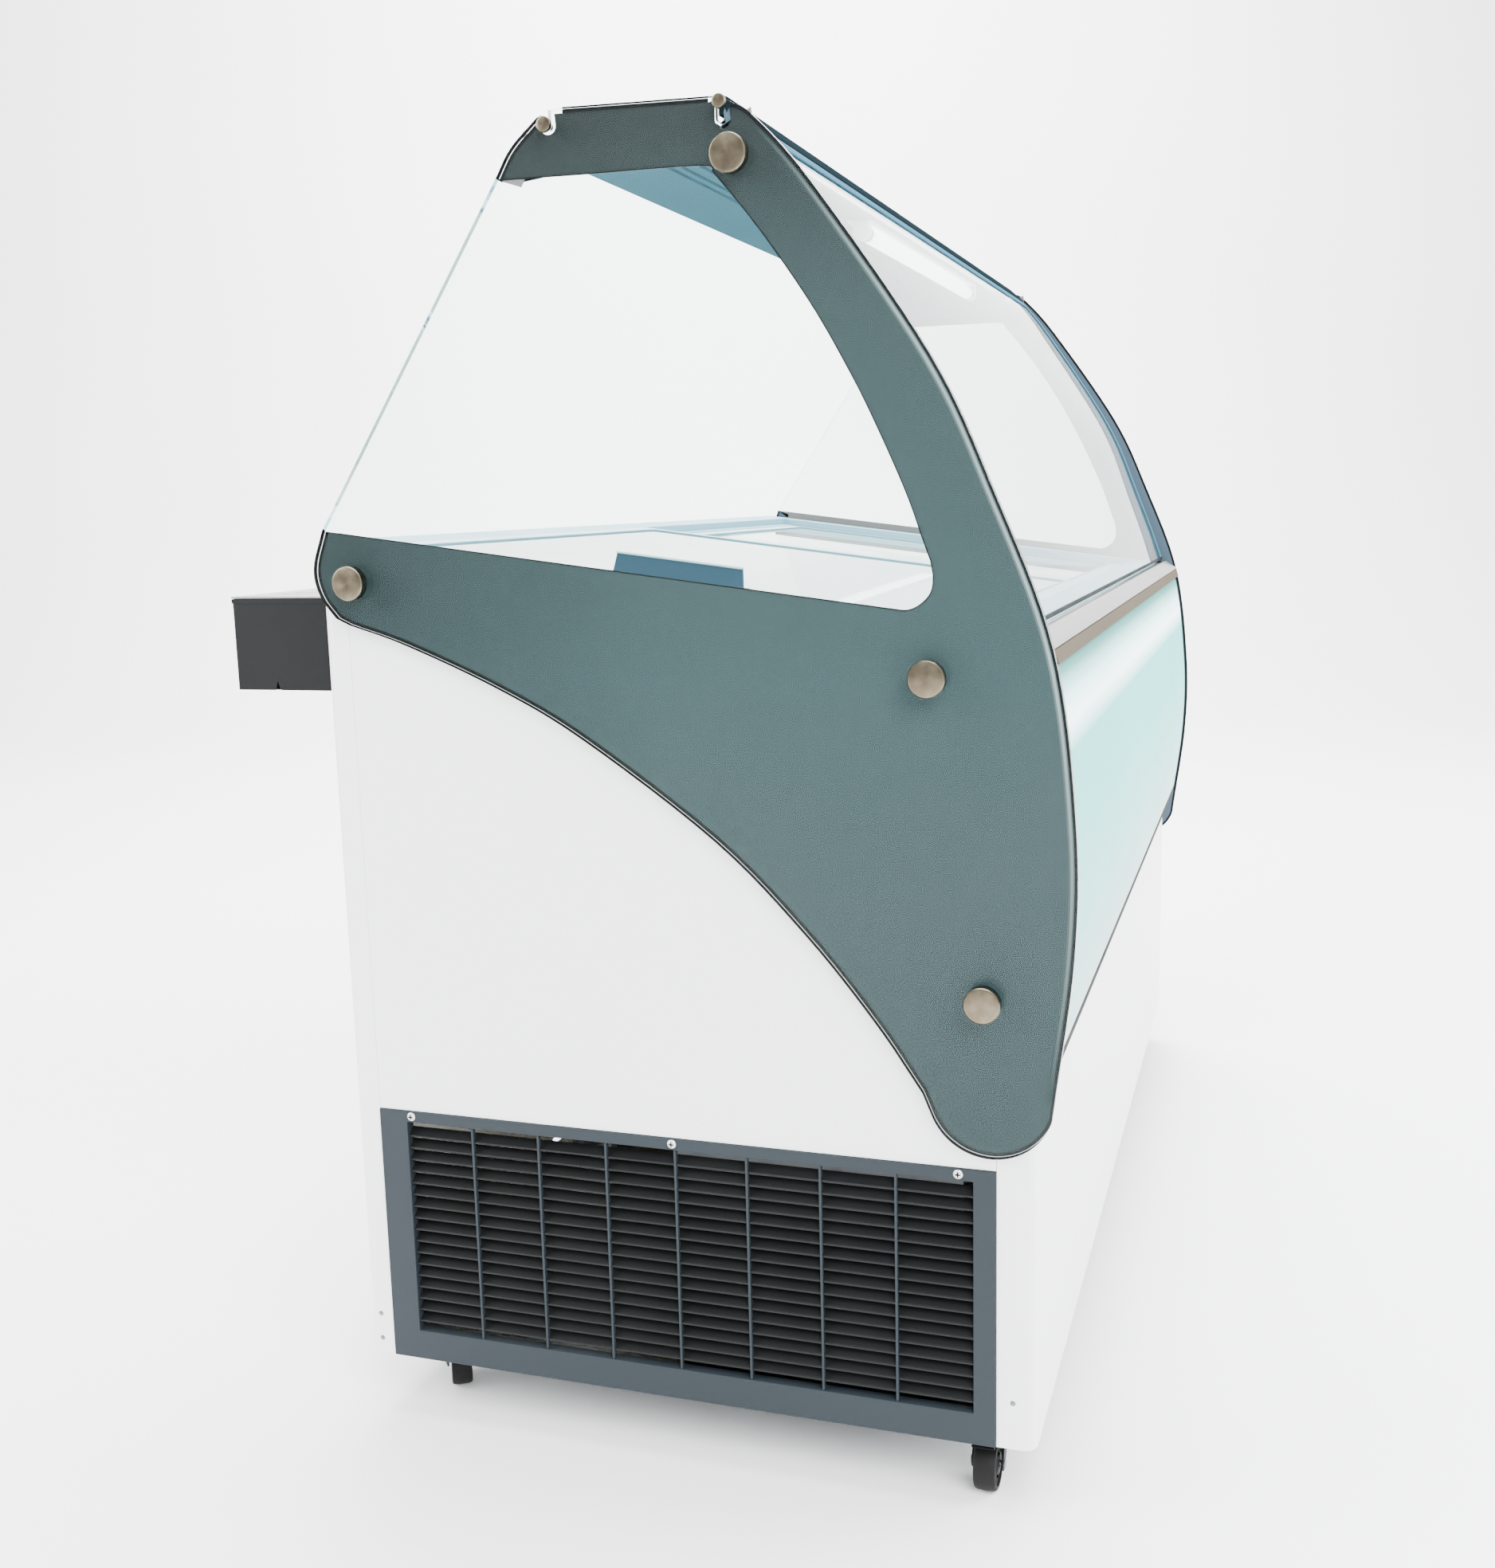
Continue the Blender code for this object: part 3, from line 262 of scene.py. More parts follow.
def print_ink(name="print_ink", shades=((33, 45, 47), (47, 60, 62), (43, 53, 54), (32, 36, 37)),
              heights=(0.34, 1.22)):
    """Ink behind the side glass, with painted light: tones from bottom to top that paint the
    reflection and shade over its height, painted shade towards the rear edge, and a very fine
    speckle.
    """
    tree = Tree(name)
    # painted reflection and shade: the ink's tone changes with height, darkest at the top
    height = tree.span(tree.axis("Z"), 0.0, 1.0, *heights)
    stops = [(place, srgb(*tone)) for place, tone in zip((0.0, 0.45, 0.8, 1.0), shades)]
    cloud = tree.ramp(tree.noise(2.5, 3.0), [(0.3, 0.95), (0.7, 1.05)])
    speck = tree.ramp(tree.noise(900.0, 2.0), [(0.35, 0.985), (0.65, 1.015)])
    # painted shade: darker towards the rear edge of the glass
    rear = tree.ramp(tree.span(tree.axis("Y"), 0.0, 1.0, -0.05, 0.26), [(0.0, 1.0), (1.0, 0.6)])
    tone = tree.mix(1.0, tree.ramp(height, stops), cloud, "MULTIPLY")
    tone = tree.mix(1.0, tone, rear, "MULTIPLY")
    tree.set(Base_Color=tree.mix(1.0, tone, speck, "MULTIPLY"),
             Specular_IOR_Level=0.1, Roughness=tree.span(tree.noise(30.0), 0.42, 0.55))
    return tree.material


def turned_steel():
    """Cap faces with rings from the lathe, in each cap's own coordinates."""
    tree = Tree("turned_steel")
    across, up = tree.axis("X"), tree.axis("Y")
    radius = tree.math("POWER", tree.math("ADD", tree.math("MULTIPLY", across, across),
                                          tree.math("MULTIPLY", up, up)), 0.5)
    rings = tree.math("SINE", tree.math("MULTIPLY", radius, 9000.0), 0.0)
    cloud = tree.noise(60.0, 4.0)
    mixed = tree.math("ADD", tree.math("MULTIPLY", rings, 0.12), cloud)
    tree.set(Base_Color=tree.ramp(mixed, [(0.3, srgb(88, 79, 65)), (0.7, srgb(126, 117, 100))]),
             Metallic=1.0, Roughness=tree.span(cloud, 0.24, 0.36), Anisotropic=0.6)
    tree.bump(mixed, 0.00002)
    return tree.material


def lit_panel():
    """Opal acrylic lit from behind, its colour deepening upwards; a painted highlight makes a
    bright glowing band below its top edge, and the very top is darker again.
    """
    tree = Tree("lit_panel")
    height = tree.span(tree.axis("Z"), 0.0, 1.0, PANEL_LOW, PANEL_TOP)
    # the near-white stops from 0.85 to 0.91 are the painted highlight
    colour = tree.ramp(height, [(0.0, srgb(186, 206, 204)), (0.35, srgb(146, 204, 200)),
                                (0.60, srgb(118, 198, 194)), (0.78, srgb(112, 194, 190)),
                                (0.85, srgb(236, 252, 251)), (0.91, srgb(190, 232, 230)),
                                (0.97, srgb(96, 150, 145)), (1.0, srgb(84, 136, 131))])
    cloud = tree.ramp(tree.noise(3.0, 3.0), [(0.3, 0.95), (0.7, 1.03)])
    glow = tree.mix(1.0, colour, cloud, "MULTIPLY")
    # painted highlight: the emission peak at 0.86 is the bright band; elsewhere the faint glow of
    # the lamps behind
    strength = tree.ramp(height, [(0.0, 0.02), (0.78, 0.05), (0.86, 0.9), (0.93, 0.10),
                                  (1.0, 0.02)])
    tree.set(Base_Color=glow, Emission_Color=glow, Emission_Strength=strength,
             Specular_IOR_Level=0.0, Roughness=tree.span(tree.noise(40.0), 0.18, 0.28))
    return tree.material


def lamp_glow(name="lamp_glow", along="X"):
    """White light that fades a little towards the tube's ends."""
    tree = Tree(name)
    ends = tree.math("ABSOLUTE", tree.axis(along), 0.0)
    strength = tree.span(ends, 7.0, 4.0, 0.24, 0.29)
    colour = tree.ramp(tree.noise(20.0), [(0.3, (0.94, 0.98, 1.0)), (0.7, (1.0, 1.0, 1.0))])
    tree.set(Base_Color=colour, Emission_Color=colour, Emission_Strength=strength, Roughness=0.3)
    return tree.material


def foam_material():
    tree = Tree("foam")
    cells = tree.nodes.new("ShaderNodeTexVoronoi")
    cells.inputs["Scale"].default_value = 500.0
    tree.link(tree.place, cells.inputs["Vector"])
    tree.set(Base_Color=tree.ramp(cells.outputs["Distance"], [(0.0, srgb(196, 178, 128)),
                                                              (0.6, srgb(226, 210, 164))]),
             Roughness=0.9)
    tree.bump(cells.outputs["Distance"], 0.0003)
    return tree.material


WHITE = painted("white_powder_coat", srgb(236, 238, 237), 0.34, 0.012, 700.0, 0.00003)
ZINC = brushed("zinc_sheet", srgb(124, 128, 132), 0.38, (40, 40, 40), 0.10)
FOAM = foam_material()
TUB = painted("tub_lining", srgb(226, 230, 230), 0.38, 0.02)
RIM = painted("rim_plastic", srgb(132, 170, 184), 0.36, 0.03, gloss=0.08)
LID_RIM = painted("lid_frame_plastic", srgb(172, 188, 192), 0.34, 0.03, gloss=0.08)
LID_BEAD = painted("lid_bead", srgb(96, 142, 156), 0.4, 0.04, gloss=0.08)
HANDLE = painted("handle_plastic", srgb(48, 70, 83), 0.34, 0.04, gloss=0.08)
RAIL = painted("rail_paint", srgb(60, 92, 108), 0.36, 0.05, gloss=0.0)
RAIL_TOP = painted("top_rail_paint", srgb(22, 32, 36), 0.34, 0.05, gloss=0.0)
CANOPY = painted("canopy_paint", srgb(66, 98, 110), 0.34, 0.04, gloss=0.0)
STAINLESS = turned_steel()
INK = print_ink()
# Painted shade: a dark band along the side glass's edges and round its window, where the glass's
# edge looks dark.
EDGE_SHADE = print_ink("print_edge", ((9, 13, 14), (7, 10, 11), (6, 9, 10), (5, 8, 9)))
# Painted highlight: soft and pale inks stand for the light on the rounded front edge of the glass,
# strongest part way up.
EDGE_SOFT_HIGHLIGHT = print_ink("print_edge_soft_highlight", ((23, 37, 38), (78, 88, 90), (70, 80, 82), (20, 26, 28)),
                      (0.40, 1.20))
EDGE_HIGHLIGHT = print_ink("print_edge_highlight", ((28, 42, 44), (126, 133, 134), (112, 120, 122),
                                          (22, 29, 31)), (0.40, 1.20))
SIDE_GLASS = pane_glass("side_glass_clear", (0.93, 0.97, 0.965), index=1.18)
CLEAR = pane_glass("front_glass_clear", (0.95, 0.985, 0.98), index=1.08)
LID_GLASS = pane_glass("lid_glass_clear", (0.93, 0.97, 0.96))
EDGE_BACK = painted("print_back_edge", srgb(70, 84, 96), 0.5, 0.03, gloss=0.0)
PRINT_BACK = painted("print_back", srgb(104, 102, 101), 0.5, 0.03)
PALE_SCREW = painted("pale_screw", srgb(214, 216, 212), 0.3, 0.06, metallic=0.4)
SEAM = painted("seam_shadow", srgb(120, 122, 120), 0.7, 0.05)
ALUMINIUM = brushed("sill_aluminium", srgb(156, 158, 155), 0.34, (6, 500, 500), 0.06)
TAN = painted("tan_anodised", srgb(86, 80, 71), 0.42, 0.05, gloss=0.0)
LIT = lit_panel()
GLOW = lamp_glow()
TUBE_GLOW = lamp_glow("tube_glow", "Z")
LAMP = painted("lamp_plastic", srgb(232, 236, 238), 0.4, 0.02)
SLATE = painted("grille_plastic", srgb(32, 39, 44), 0.46, 0.06, 500.0, 0.00003, gloss=0.2)
# Painted shade: the slats are a darker copy of the grille plastic, for the shade between the
# louvres.
DARK_SLAT = painted("shaded_slat_plastic", srgb(14, 16, 17), 0.5, 0.08, 500.0, 0.00003, gloss=0.2)
CHARCOAL = painted("charcoal_coat", srgb(9, 12, 13), 0.5, 0.08, 600.0, 0.00003, gloss=0.2)
BLACK = painted("black_plastic", srgb(9, 10, 11), 0.5, 0.15, 400.0, 0.00008, gloss=0.2)
RUBBER = painted("seal_rubber", srgb(12, 13, 13), 0.75, 0.2, 300.0, 0.0001, gloss=0.2)
SEAL = painted("teal_seal", srgb(14, 24, 28), 0.6, 0.15, 300.0, 0.00006, gloss=0.08)
TREAD = painted("castor_tread", srgb(10, 10, 11), 0.65, 0.2, 250.0, 0.0001, gloss=0.2)
IRON = painted("compressor_enamel", srgb(18, 19, 20), 0.4, 0.12, 200.0, 0.0002)
FINS = brushed("fin_aluminium", srgb(70, 72, 74), 0.4, (400, 20, 20), 0.15)
COPPER = brushed("copper_tube", srgb(110, 66, 46), 0.3, (60, 60, 60), 0.15)

NODE_MATERIALS = {
    "front_skin": WHITE, "rear_skin": WHITE, "end_panel_left": WHITE, "end_panel_right": WHITE,
    "foam_body": FOAM, "inner_tub": TUB, "rim_frame": RIM, "lid_left_frame": RIM,
    "lid_right_frame": RIM, "lid_left_glass": CLEAR, "lid_right_glass": CLEAR,
    "side_glass_left": SIDE_GLASS, "side_glass_right": SIDE_GLASS, "canopy_beam": CANOPY,
    "lamp_fixture": LAMP, "lamp_tube": GLOW, "canopy_bolt_left": STAINLESS,
    "canopy_bolt_right": STAINLESS, "front_glass": CLEAR, "front_glass_rail_left": RAIL,
    "front_glass_rail_right": RAIL, "front_glass_top_rail": RAIL_TOP, "hinge_pin_left": STAINLESS,
    "hinge_pin_right": STAINLESS, "sill_profile": ALUMINIUM, "sill_strip": TAN,
    "light_box_panel": LIT, "light_box_tray": ZINC, "grille_left": SLATE, "grille_right": SLATE,
    "scoop_bin": CHARCOAL, "scoop_bin_plate": ALUMINIUM, "control_bezel": BLACK,
    "light_switch": BLACK, "thermostat_knob": BLACK, "power_inlet": BLACK, "base_tray": ZINC,
    "compressor": IRON, "condenser": FINS, "fan_bracket": ZINC, "fan_blade": BLACK,
}
for cad_name, cad_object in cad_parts.items():
    finish = NODE_MATERIALS.get(cad_name)
    if cad_name.startswith("standoff"):
        finish = STAINLESS
    elif cad_name.endswith("_fork"):
        finish = ZINC
    elif cad_name.startswith("castor"):
        finish = BLACK
    cad_object.data.materials.clear()
    cad_object.data.materials.append(finish)


# ---- shapes ---------------------------------------------------------------------------
def new_object(name, bm, finish, smooth_angle=30.0):
    data = bpy.data.meshes.new(name)
    bmesh.ops.recalc_face_normals(bm, faces=bm.faces)
    bm.to_mesh(data)
    bm.free()
    data.materials.append(finish)
    data.shade_smooth()
    data.set_sharp_from_angle(angle=math.radians(smooth_angle))
    made = bpy.data.objects.new(name, data)
    bpy.context.scene.collection.objects.link(made)
    return made


def soften(item, width, segments=2):
    """Rounded edges where the faces meet at more than 30 degrees."""
    edge = item.modifiers.new("edges", "BEVEL")
    edge.width = width
    edge.segments = segments
    edge.limit_method = "ANGLE"
    edge.angle_limit = math.radians(30)
    edge.harden_normals = True
    return item


YZ = Matrix(((0, 0, 1, 0), (1, 0, 0, 0), (0, 1, 0, 0), (0, 0, 0, 1)))
XZ = Matrix(((1, 0, 0, 0), (0, 0, -1, 0), (0, 1, 0, 0), (0, 0, 0, 1)))


def prism(name, outline, matrix, low, high, finish, bevel=0.0):
    """The outline, in the matrix's XY plane, extruded along its Z from low to high."""
    bm = bmesh.new()
    rings = []
    for level in (low, high):
        rings.append([bm.verts.new(matrix @ Vector((a, b, level))) for a, b in outline])
    count = len(outline)
    bm.faces.new(rings[0])
    bm.faces.new(rings[1])
    for k in range(count):
        after = (k + 1) % count
        bm.faces.new((rings[0][k], rings[0][after], rings[1][after], rings[1][k]))
    made = new_object(name, bm, finish)
    return soften(made, bevel) if bevel else made


def box_into(bm, low, high, matrix=None):
    made = bmesh.ops.create_cube(bm, size=1.0)["verts"]
    low, high = Vector(low), Vector(high)
    for vert in made:
        point = Vector((vert.co[i] + 0.5 for i in range(3)))
        point = Vector((low[i] + (high[i] - low[i]) * point[i] for i in range(3)))
        vert.co = matrix @ point if matrix else point


def boxes(name, corners, finish, bevel=0.0, matrix=None):
    bm = bmesh.new()
    for low, high in corners:
        box_into(bm, low, high, matrix)
    made = new_object(name, bm, finish)
    return soften(made, bevel) if bevel else made


def lathe(name, profile, place, direction, finish, steps=48):
    """A turned piece whose object stands at its own place, so its finish can be round.

    The profile is (radius, height) points round the object's Z; a zero radius makes a pole.
    """
    bm = bmesh.new()
    rings = []
    for radius, height in profile:
        if radius < 1e-7:
            rings.append([bm.verts.new((0, 0, height))])
            continue
        ring = []
        for k in range(steps):
            angle = math.tau * k / steps
            ring.append(bm.verts.new((radius * math.cos(angle), radius * math.sin(angle),
                                      height)))
        rings.append(ring)
    for first, second in zip(rings, rings[1:]):
        for k in range(steps):
            after = (k + 1) % steps
            corners = [first[k % len(first)], first[after % len(first)],
                       second[after % len(second)], second[k % len(second)]]
            unique = list(dict.fromkeys(corners))
            if len(unique) > 2:
                bm.faces.new(unique)
    made = new_object(name, bm, finish, 35.0)
    made.rotation_mode = "QUATERNION"
    made.rotation_quaternion = Vector(direction).to_track_quat("Z", "Y")
    made.location = place
    return made


def tube(name, points, radius, finish, sides=10):
    """A round bar along a smooth line through the points."""
    path = curve_through(points, 6)
    bm = bmesh.new()
    rings = []
    up = Vector((0, 0, 1))
    for k, point in enumerate(path):
        back = Vector(path[max(k - 1, 0)])
        ahead = Vector(path[min(k + 1, len(path) - 1)])
        run = (ahead - back).normalized()
        if abs(run.dot(up)) > 0.95:
            up = Vector((0, 1, 0))
        side = run.cross(up).normalized()
        up = side.cross(run).normalized()
        ring = []
        for j in range(sides):
            angle = math.tau * j / sides
            offset = side * math.cos(angle) * radius + up * math.sin(angle) * radius
            ring.append(bm.verts.new(Vector(point) + offset))
        rings.append(ring)
    for first, second in zip(rings, rings[1:]):
        for j in range(sides):
            after = (j + 1) % sides
            bm.faces.new((first[j], first[after], second[after], second[j]))
    bm.faces.new(rings[0])
    bm.faces.new(rings[-1])
    return new_object(name, bm, finish, 60.0)


def curve_through(points, per_span):
    """Points on a smooth Catmull-Rom curve through the given ones, ends included."""
    knots = [Vector(point) for point in points]
    knots = [2 * knots[0] - knots[1], *knots, 2 * knots[-1] - knots[-2]]
    path = []
    for k in range(1, len(knots) - 2):
        before, start, end, after = knots[k - 1:k + 3]
        for step in range(per_span):
            t = step / per_span
            path.append(0.5 * (2 * start + (end - before) * t
                               + (2 * before - 5 * start + 4 * end - after) * t * t
                               + (3 * start - before - 3 * end + after) * t ** 3))
    path.append(knots[-2])
    return [tuple(point) for point in path]


def arc(centre, radius, start, end, steps):
    path = []
    for k in range(steps + 1):
        angle = math.radians(start + (end - start) * k / steps)
        path.append((centre[0] + radius * math.cos(angle), centre[1] + radius * math.sin(angle)))
    return path


def inset(path, near, far):
    """Shift a path square to itself, towards +Y and down, by a distance that grows along it."""
    moved = []
    last = len(path) - 1
    for k, point in enumerate(path):
        run = (Vector(path[min(k + 1, last)]) - Vector(path[max(k - 1, 0)])).normalized()
        side = Vector((-run.y, run.x))
        moved.append(tuple(Vector(point) + side * (near + (far - near) * k / last)))
    return moved


def strip(path, thickness):
    return [*path, *reversed(inset(path, thickness, thickness))]


def filled(name, outlines, matrix, thickness, finish):
    """A flat plate from an outline and its holes, centred on the matrix's XY plane."""
    data = bpy.data.curves.new(name, "CURVE")
    data.dimensions = "2D"
    data.fill_mode = "BOTH"
    data.extrude = thickness / 2
    for outline in outlines:
        spline = data.splines.new("POLY")
        spline.points.add(len(outline) - 1)
        for point, (across, up) in zip(spline.points, outline):
            point.co = (across, up, 0.0, 1.0)
        spline.use_cyclic_u = True
    curve = bpy.data.objects.new(name, data)
    bpy.context.scene.collection.objects.link(curve)
    bpy.context.view_layer.update()
    graph = bpy.context.evaluated_depsgraph_get()
    mesh = bpy.data.meshes.new_from_object(curve.evaluated_get(graph))
    bpy.data.objects.remove(curve, do_unlink=True)
    bm = bmesh.new()
    bm.from_mesh(mesh)
    bpy.data.meshes.remove(mesh)
    bmesh.ops.remove_doubles(bm, verts=bm.verts, dist=0.00001)
    bmesh.ops.transform(bm, matrix=matrix, verts=bm.verts)
    return new_object(name, bm, finish)


def piece(item, body, *nodes):
    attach(item, body)
    if nodes:
        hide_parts(*nodes)
    return item


# ---- side glasses ---------------------------------------------------------------------
def front_edge():
    """The long convex front edge of a side glass, from its top corner down."""
    return curve_through([(-0.123, 1.207), (-0.142, 1.195), (-0.190, 1.140), (-0.284, 1.004),
                          (-0.334, 0.898), (-0.382, 0.771), (-0.4007, 0.633), (-0.4007, 0.520),
                          (-0.385, 0.392)], 8)


def glass_outline():
    """Outline of a side glass, as (y, z), with open slots for the two top pins."""
    toe = arc((-0.332, 0.395), 0.054, 198, 338, 24)
    under = curve_through([(-0.274, 0.394), (-0.234, 0.452), (-0.174, 0.525), (-0.094, 0.604),
                           (0.026, 0.690), (0.106, 0.734), (0.195, 0.772), (0.253, 0.791)], 6)
    heel = curve_through([(0.266, 0.797), (0.281, 0.817), (0.286, 0.842), (0.275, 0.8756)], 6)
    crown = curve_through([(0.085, 1.164), (0.070, 1.187), (0.045, 1.209)], 6)
    half = SLOT_HALF
    bolt_y = CANOPY_BOLT[0]
    bolt_slot = [(bolt_y + half, 1.211), *arc(CANOPY_BOLT, half, 0, -180, 8),
                 (bolt_y - half, 1.2145)]
    hinge_slot = [(HINGE[0] + half, 1.2118),
                  *arc((HINGE[0], HINGE[1] - 0.0125), half, 0, -180, 8),
                  (HINGE[0] - half, 1.2095)]
    return [*crown, *bolt_slot, (0.024, 1.2156), (-0.1034, 1.212), *hinge_slot,
            *front_edge(), *toe, *under, *heel]


def window_outline():
    """The clear window in the print: open at the rear edge, round at its front corners."""
    top = curve_through([(0.085, 1.164), (0.0, 1.1625), (-0.095, 1.161), (-0.106, 1.155)], 4)
    front = curve_through([(-0.106, 1.155), (-0.134, 1.121), (-0.162, 1.083), (-0.190, 1.041),
                           (-0.214, 0.999), (-0.234, 0.960), (-0.261, 0.900), (-0.2755, 0.860),
                           (-0.282, 0.842)], 6)
    corner = curve_through([(-0.282, 0.842), (-0.284, 0.829), (-0.282, 0.817),
                            (-0.274, 0.808), (-0.263, 0.803), (-0.251, 0.804)], 4)
    return [*top, *front[1:], *corner[1:]]


def print_outline(margin):
    """The print: the glass outline drawn in by the margin, with the window taken out."""
    outline = glass_outline()
    rear = outline[-1]
    window = window_outline()
    drawn_in = []
    count = len(outline)
    for k, point in enumerate(outline):
        run = Vector(outline[(k + 1) % count]) - Vector(outline[k - 1])
        side = Vector((-run.y, run.x)).normalized()
        drawn_in.append(tuple(Vector(point) + side * margin))
    drawn_in[0] = (window[0][0] - 0.0008, window[0][1])
    drawn_in[-1] = (rear[0] - 0.0012, rear[1] - 0.0004)
    return [*drawn_in, *reversed(window)]


def edge_path():
    """The rounded edge of a side glass from the hinge slot down, round the toe to the heel."""
    outline = glass_outline()
    start = outline.index(front_edge()[0])
    return outline[start:]


def band(path, near, far):
    """Closed outline of a band that runs beside the path."""
    return [*inset(path, near, near), *reversed(inset(path, far, far))]


def circle(centre, radius, sides):
    return arc(centre, radius, 0, 360 - 360 / sides, sides - 1)


def glass_sheet(end, side):
    holes = [circle(place, NECK_R + 0.0003, 24) for place in STANDOFFS.values()]
    sheet = filled(f"glass_{end}", [glass_outline(), *holes],
                   Matrix.Translation((side * (HALF - GLASS / 2), 0, 0)) @ YZ, GLASS, SIDE_GLASS)
    soften(sheet, 0.0009, 2)
    piece(sheet, "cabinet", f"side_glass_{end}")


def glass_print(end, side):
    """Ink, the coat behind it and the fine bands along the edges, on the inner face; the dark bands
    are painted shade and the soft and pale ones a painted highlight on the rounded front edge.
    """
    inner = HALF - GLASS
    ink_x = inner - PRINT_DEEP
    coat_x = side * ink_x - side * 0.0005
    line_x = inner - LINE_DEEP
    holes = [circle(place, BARREL_R - 0.0005, 24) for place in STANDOFFS.values()]
    front = [point for point in front_edge() if point[1] < 1.195]
    window = [*window_outline(), (0.262, 0.8738)]
    crown = [point for point in glass_outline() if point[0] > 0.0449 and point[1] > 1.16]
    top = [(0.024, 1.2156), (-0.1034, 1.212)]
    rim_band = (0.0002, PRINT_MARGIN)
    sheets = (("", [print_outline(PRINT_MARGIN), *holes], side * ink_x, INK_THICK, INK),
              ("_back", [print_outline(COAT_MARGIN), *holes], coat_x, COAT_THICK, PRINT_BACK),
              ("_rind", [band(edge_path(), 0.0036, 0.0205)], coat_x, COAT_THICK, EDGE_BACK),
              # painted shade: dark bands along the crown, the top, the front edge and round the
              # window
              ("_crown", [band(crown, *rim_band)], side * ink_x, INK_THICK, EDGE_SHADE),
              ("_top", [band(top, *rim_band)], side * ink_x, INK_THICK, EDGE_SHADE),
              ("_edge", [band(edge_path(), *rim_band)], side * ink_x, INK_THICK, EDGE_SHADE),
              # painted highlight: soft, pale and fading bands along the rounded front edge
              ("_soft", [band(front, 0.0034, 0.0044)], side * line_x, LINE_THICK, EDGE_SOFT_HIGHLIGHT),
              ("_pale", [band(front, 0.0044, 0.0066)], side * line_x, LINE_THICK, EDGE_HIGHLIGHT),
              ("_fade", [band(front, 0.0066, 0.0082)], side * line_x, LINE_THICK, EDGE_SOFT_HIGHLIGHT),
              ("_window_line", [band(window, -0.0011, 0.0)], side * line_x, LINE_THICK,
               EDGE_SHADE))
    for name, outlines, place, thick, finish in sheets:
        made = filled(f"glass_print{name}_{end}", outlines,
                      Matrix.Translation((place, 0, 0)) @ YZ, thick, finish)
        piece(made, "cabinet")


def standoff(end, side, level):
    """A stainless cap with a domed edge and a stud, over a washer, and its barrel."""
    y, z = STANDOFFS[level]
    face = CAP_THICK
    behind = -GLASS - 0.0003
    foot = -0.0195 if level != "top" else -0.0182
    cap = [(0.0, face), (CAP_R - 0.0020, face), (CAP_R - 0.0007, face - 0.0004),
           (CAP_R, face - 0.0013), (CAP_R, 0.0022), (CAP_R - 0.0005, 0.0014),
           (CAP_R - 0.0017, 0.0012), (CAP_R - 0.0017, 0.0003), (NECK_R, 0.0003),
           (NECK_R, behind), (BARREL_R + 0.0015, behind), (BARREL_R + 0.0015, behind - 0.0009),
           (BARREL_R, behind - 0.0011), (BARREL_R, foot + 0.0004), (BARREL_R - 0.0004, foot),
           (0.0, foot)]
    made = lathe(f"standoff_{end}_{level}_cap", cap, (side * HALF, y, z), (side, 0, 0), STAINLESS)
    piece(made, "cabinet", f"standoff_{end}_{level}")


def pin(name, body, node, side, place, radius):
    """A small turned head on a pin that drops into the glass from above."""
    y, z = place
    profile = [(0.0, 0.0042), (radius * 0.72, 0.0042), (radius * 0.92, 0.0038), (radius, 0.0030),
               (radius, 0.0008), (radius - 0.0005, 0.0003), (PIN_R, 0.0003),
               (PIN_R, -0.0120), (0.0, -0.0120)]
    made = lathe(name, profile, (side * HALF, y, z), (side, 0, 0), STAINLESS, 32)
    piece(made, body, node)


for end, side in SIDES:
    glass_sheet(end, side)
    glass_print(end, side)
    for level in STANDOFFS:
        standoff(end, side, level)
    pin(f"hinge_pin_{end}_head", "front_window", f"hinge_pin_{end}", side, HINGE, 0.0058)
    pin(f"canopy_bolt_{end}_head", "cabinet", f"canopy_bolt_{end}", side, CANOPY_BOLT, 0.0065)


# ---- front glass, sill and light box --------------------------------------------------
def front_path():
    """The outer face of the front glass, from its top down to its foot."""
    edge = [point for point in front_edge() if 0.80 < point[1] < 1.197]
    path = inset(edge, *FRONT_INSET)
    slant = (path[-1][0] - path[-2][0]) / (path[-1][1] - path[-2][1])
    path.append((path[-1][0] + slant * (FRONT_FOOT - path[-1][1]), FRONT_FOOT))
    return path


def front_rail(end, side, path, reach):
    """A channel round the end of the front glass, with its inner fin and a buffer at its foot."""
    low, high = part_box(f"front_glass_rail_{end}")
    wide = high.x - low.x
    far = max(abs(low.x), abs(high.x))
    buffer_path = [point for point in inset(path, 0.0082, 0.0082) if point[1] < 0.862]
    fin_path = [point for point in path if 0.812 < point[1] < 1.150]
    full = (low.x, high.x)
    web = sorted((side * (reach + 0.0002), side * far))
    middle = sorted((side * (far - wide / 2 - 0.008), side * (far - wide / 2 + 0.008)))
    fin = sorted((side * (far - wide), side * (far - wide + 0.002)))
    parts = (("outer", strip(inset(path, -0.0012, -0.0012), 0.0011), full, RAIL, 0.0004),
             ("inner", strip(inset(path, 0.0051, 0.0051), 0.0028), full, RAIL, 0.0004),
             ("web", strip(inset(path, -0.0011, -0.0011), 0.0080), web, RAIL, 0.0003),
             ("buffer", strip(buffer_path, 0.0030), middle, RUBBER, 0.0006),
             ("fin", band(fin_path, 0.0079, 0.0290), fin, RAIL, 0.0004))
    for name, outline, across, finish, bevel in parts:
        made = prism(f"front_rail_{end}_{name}", outline, YZ, *across, finish, bevel)
        piece(made, "front_window", *((f"front_glass_rail_{end}",) if name == "outer" else ()))


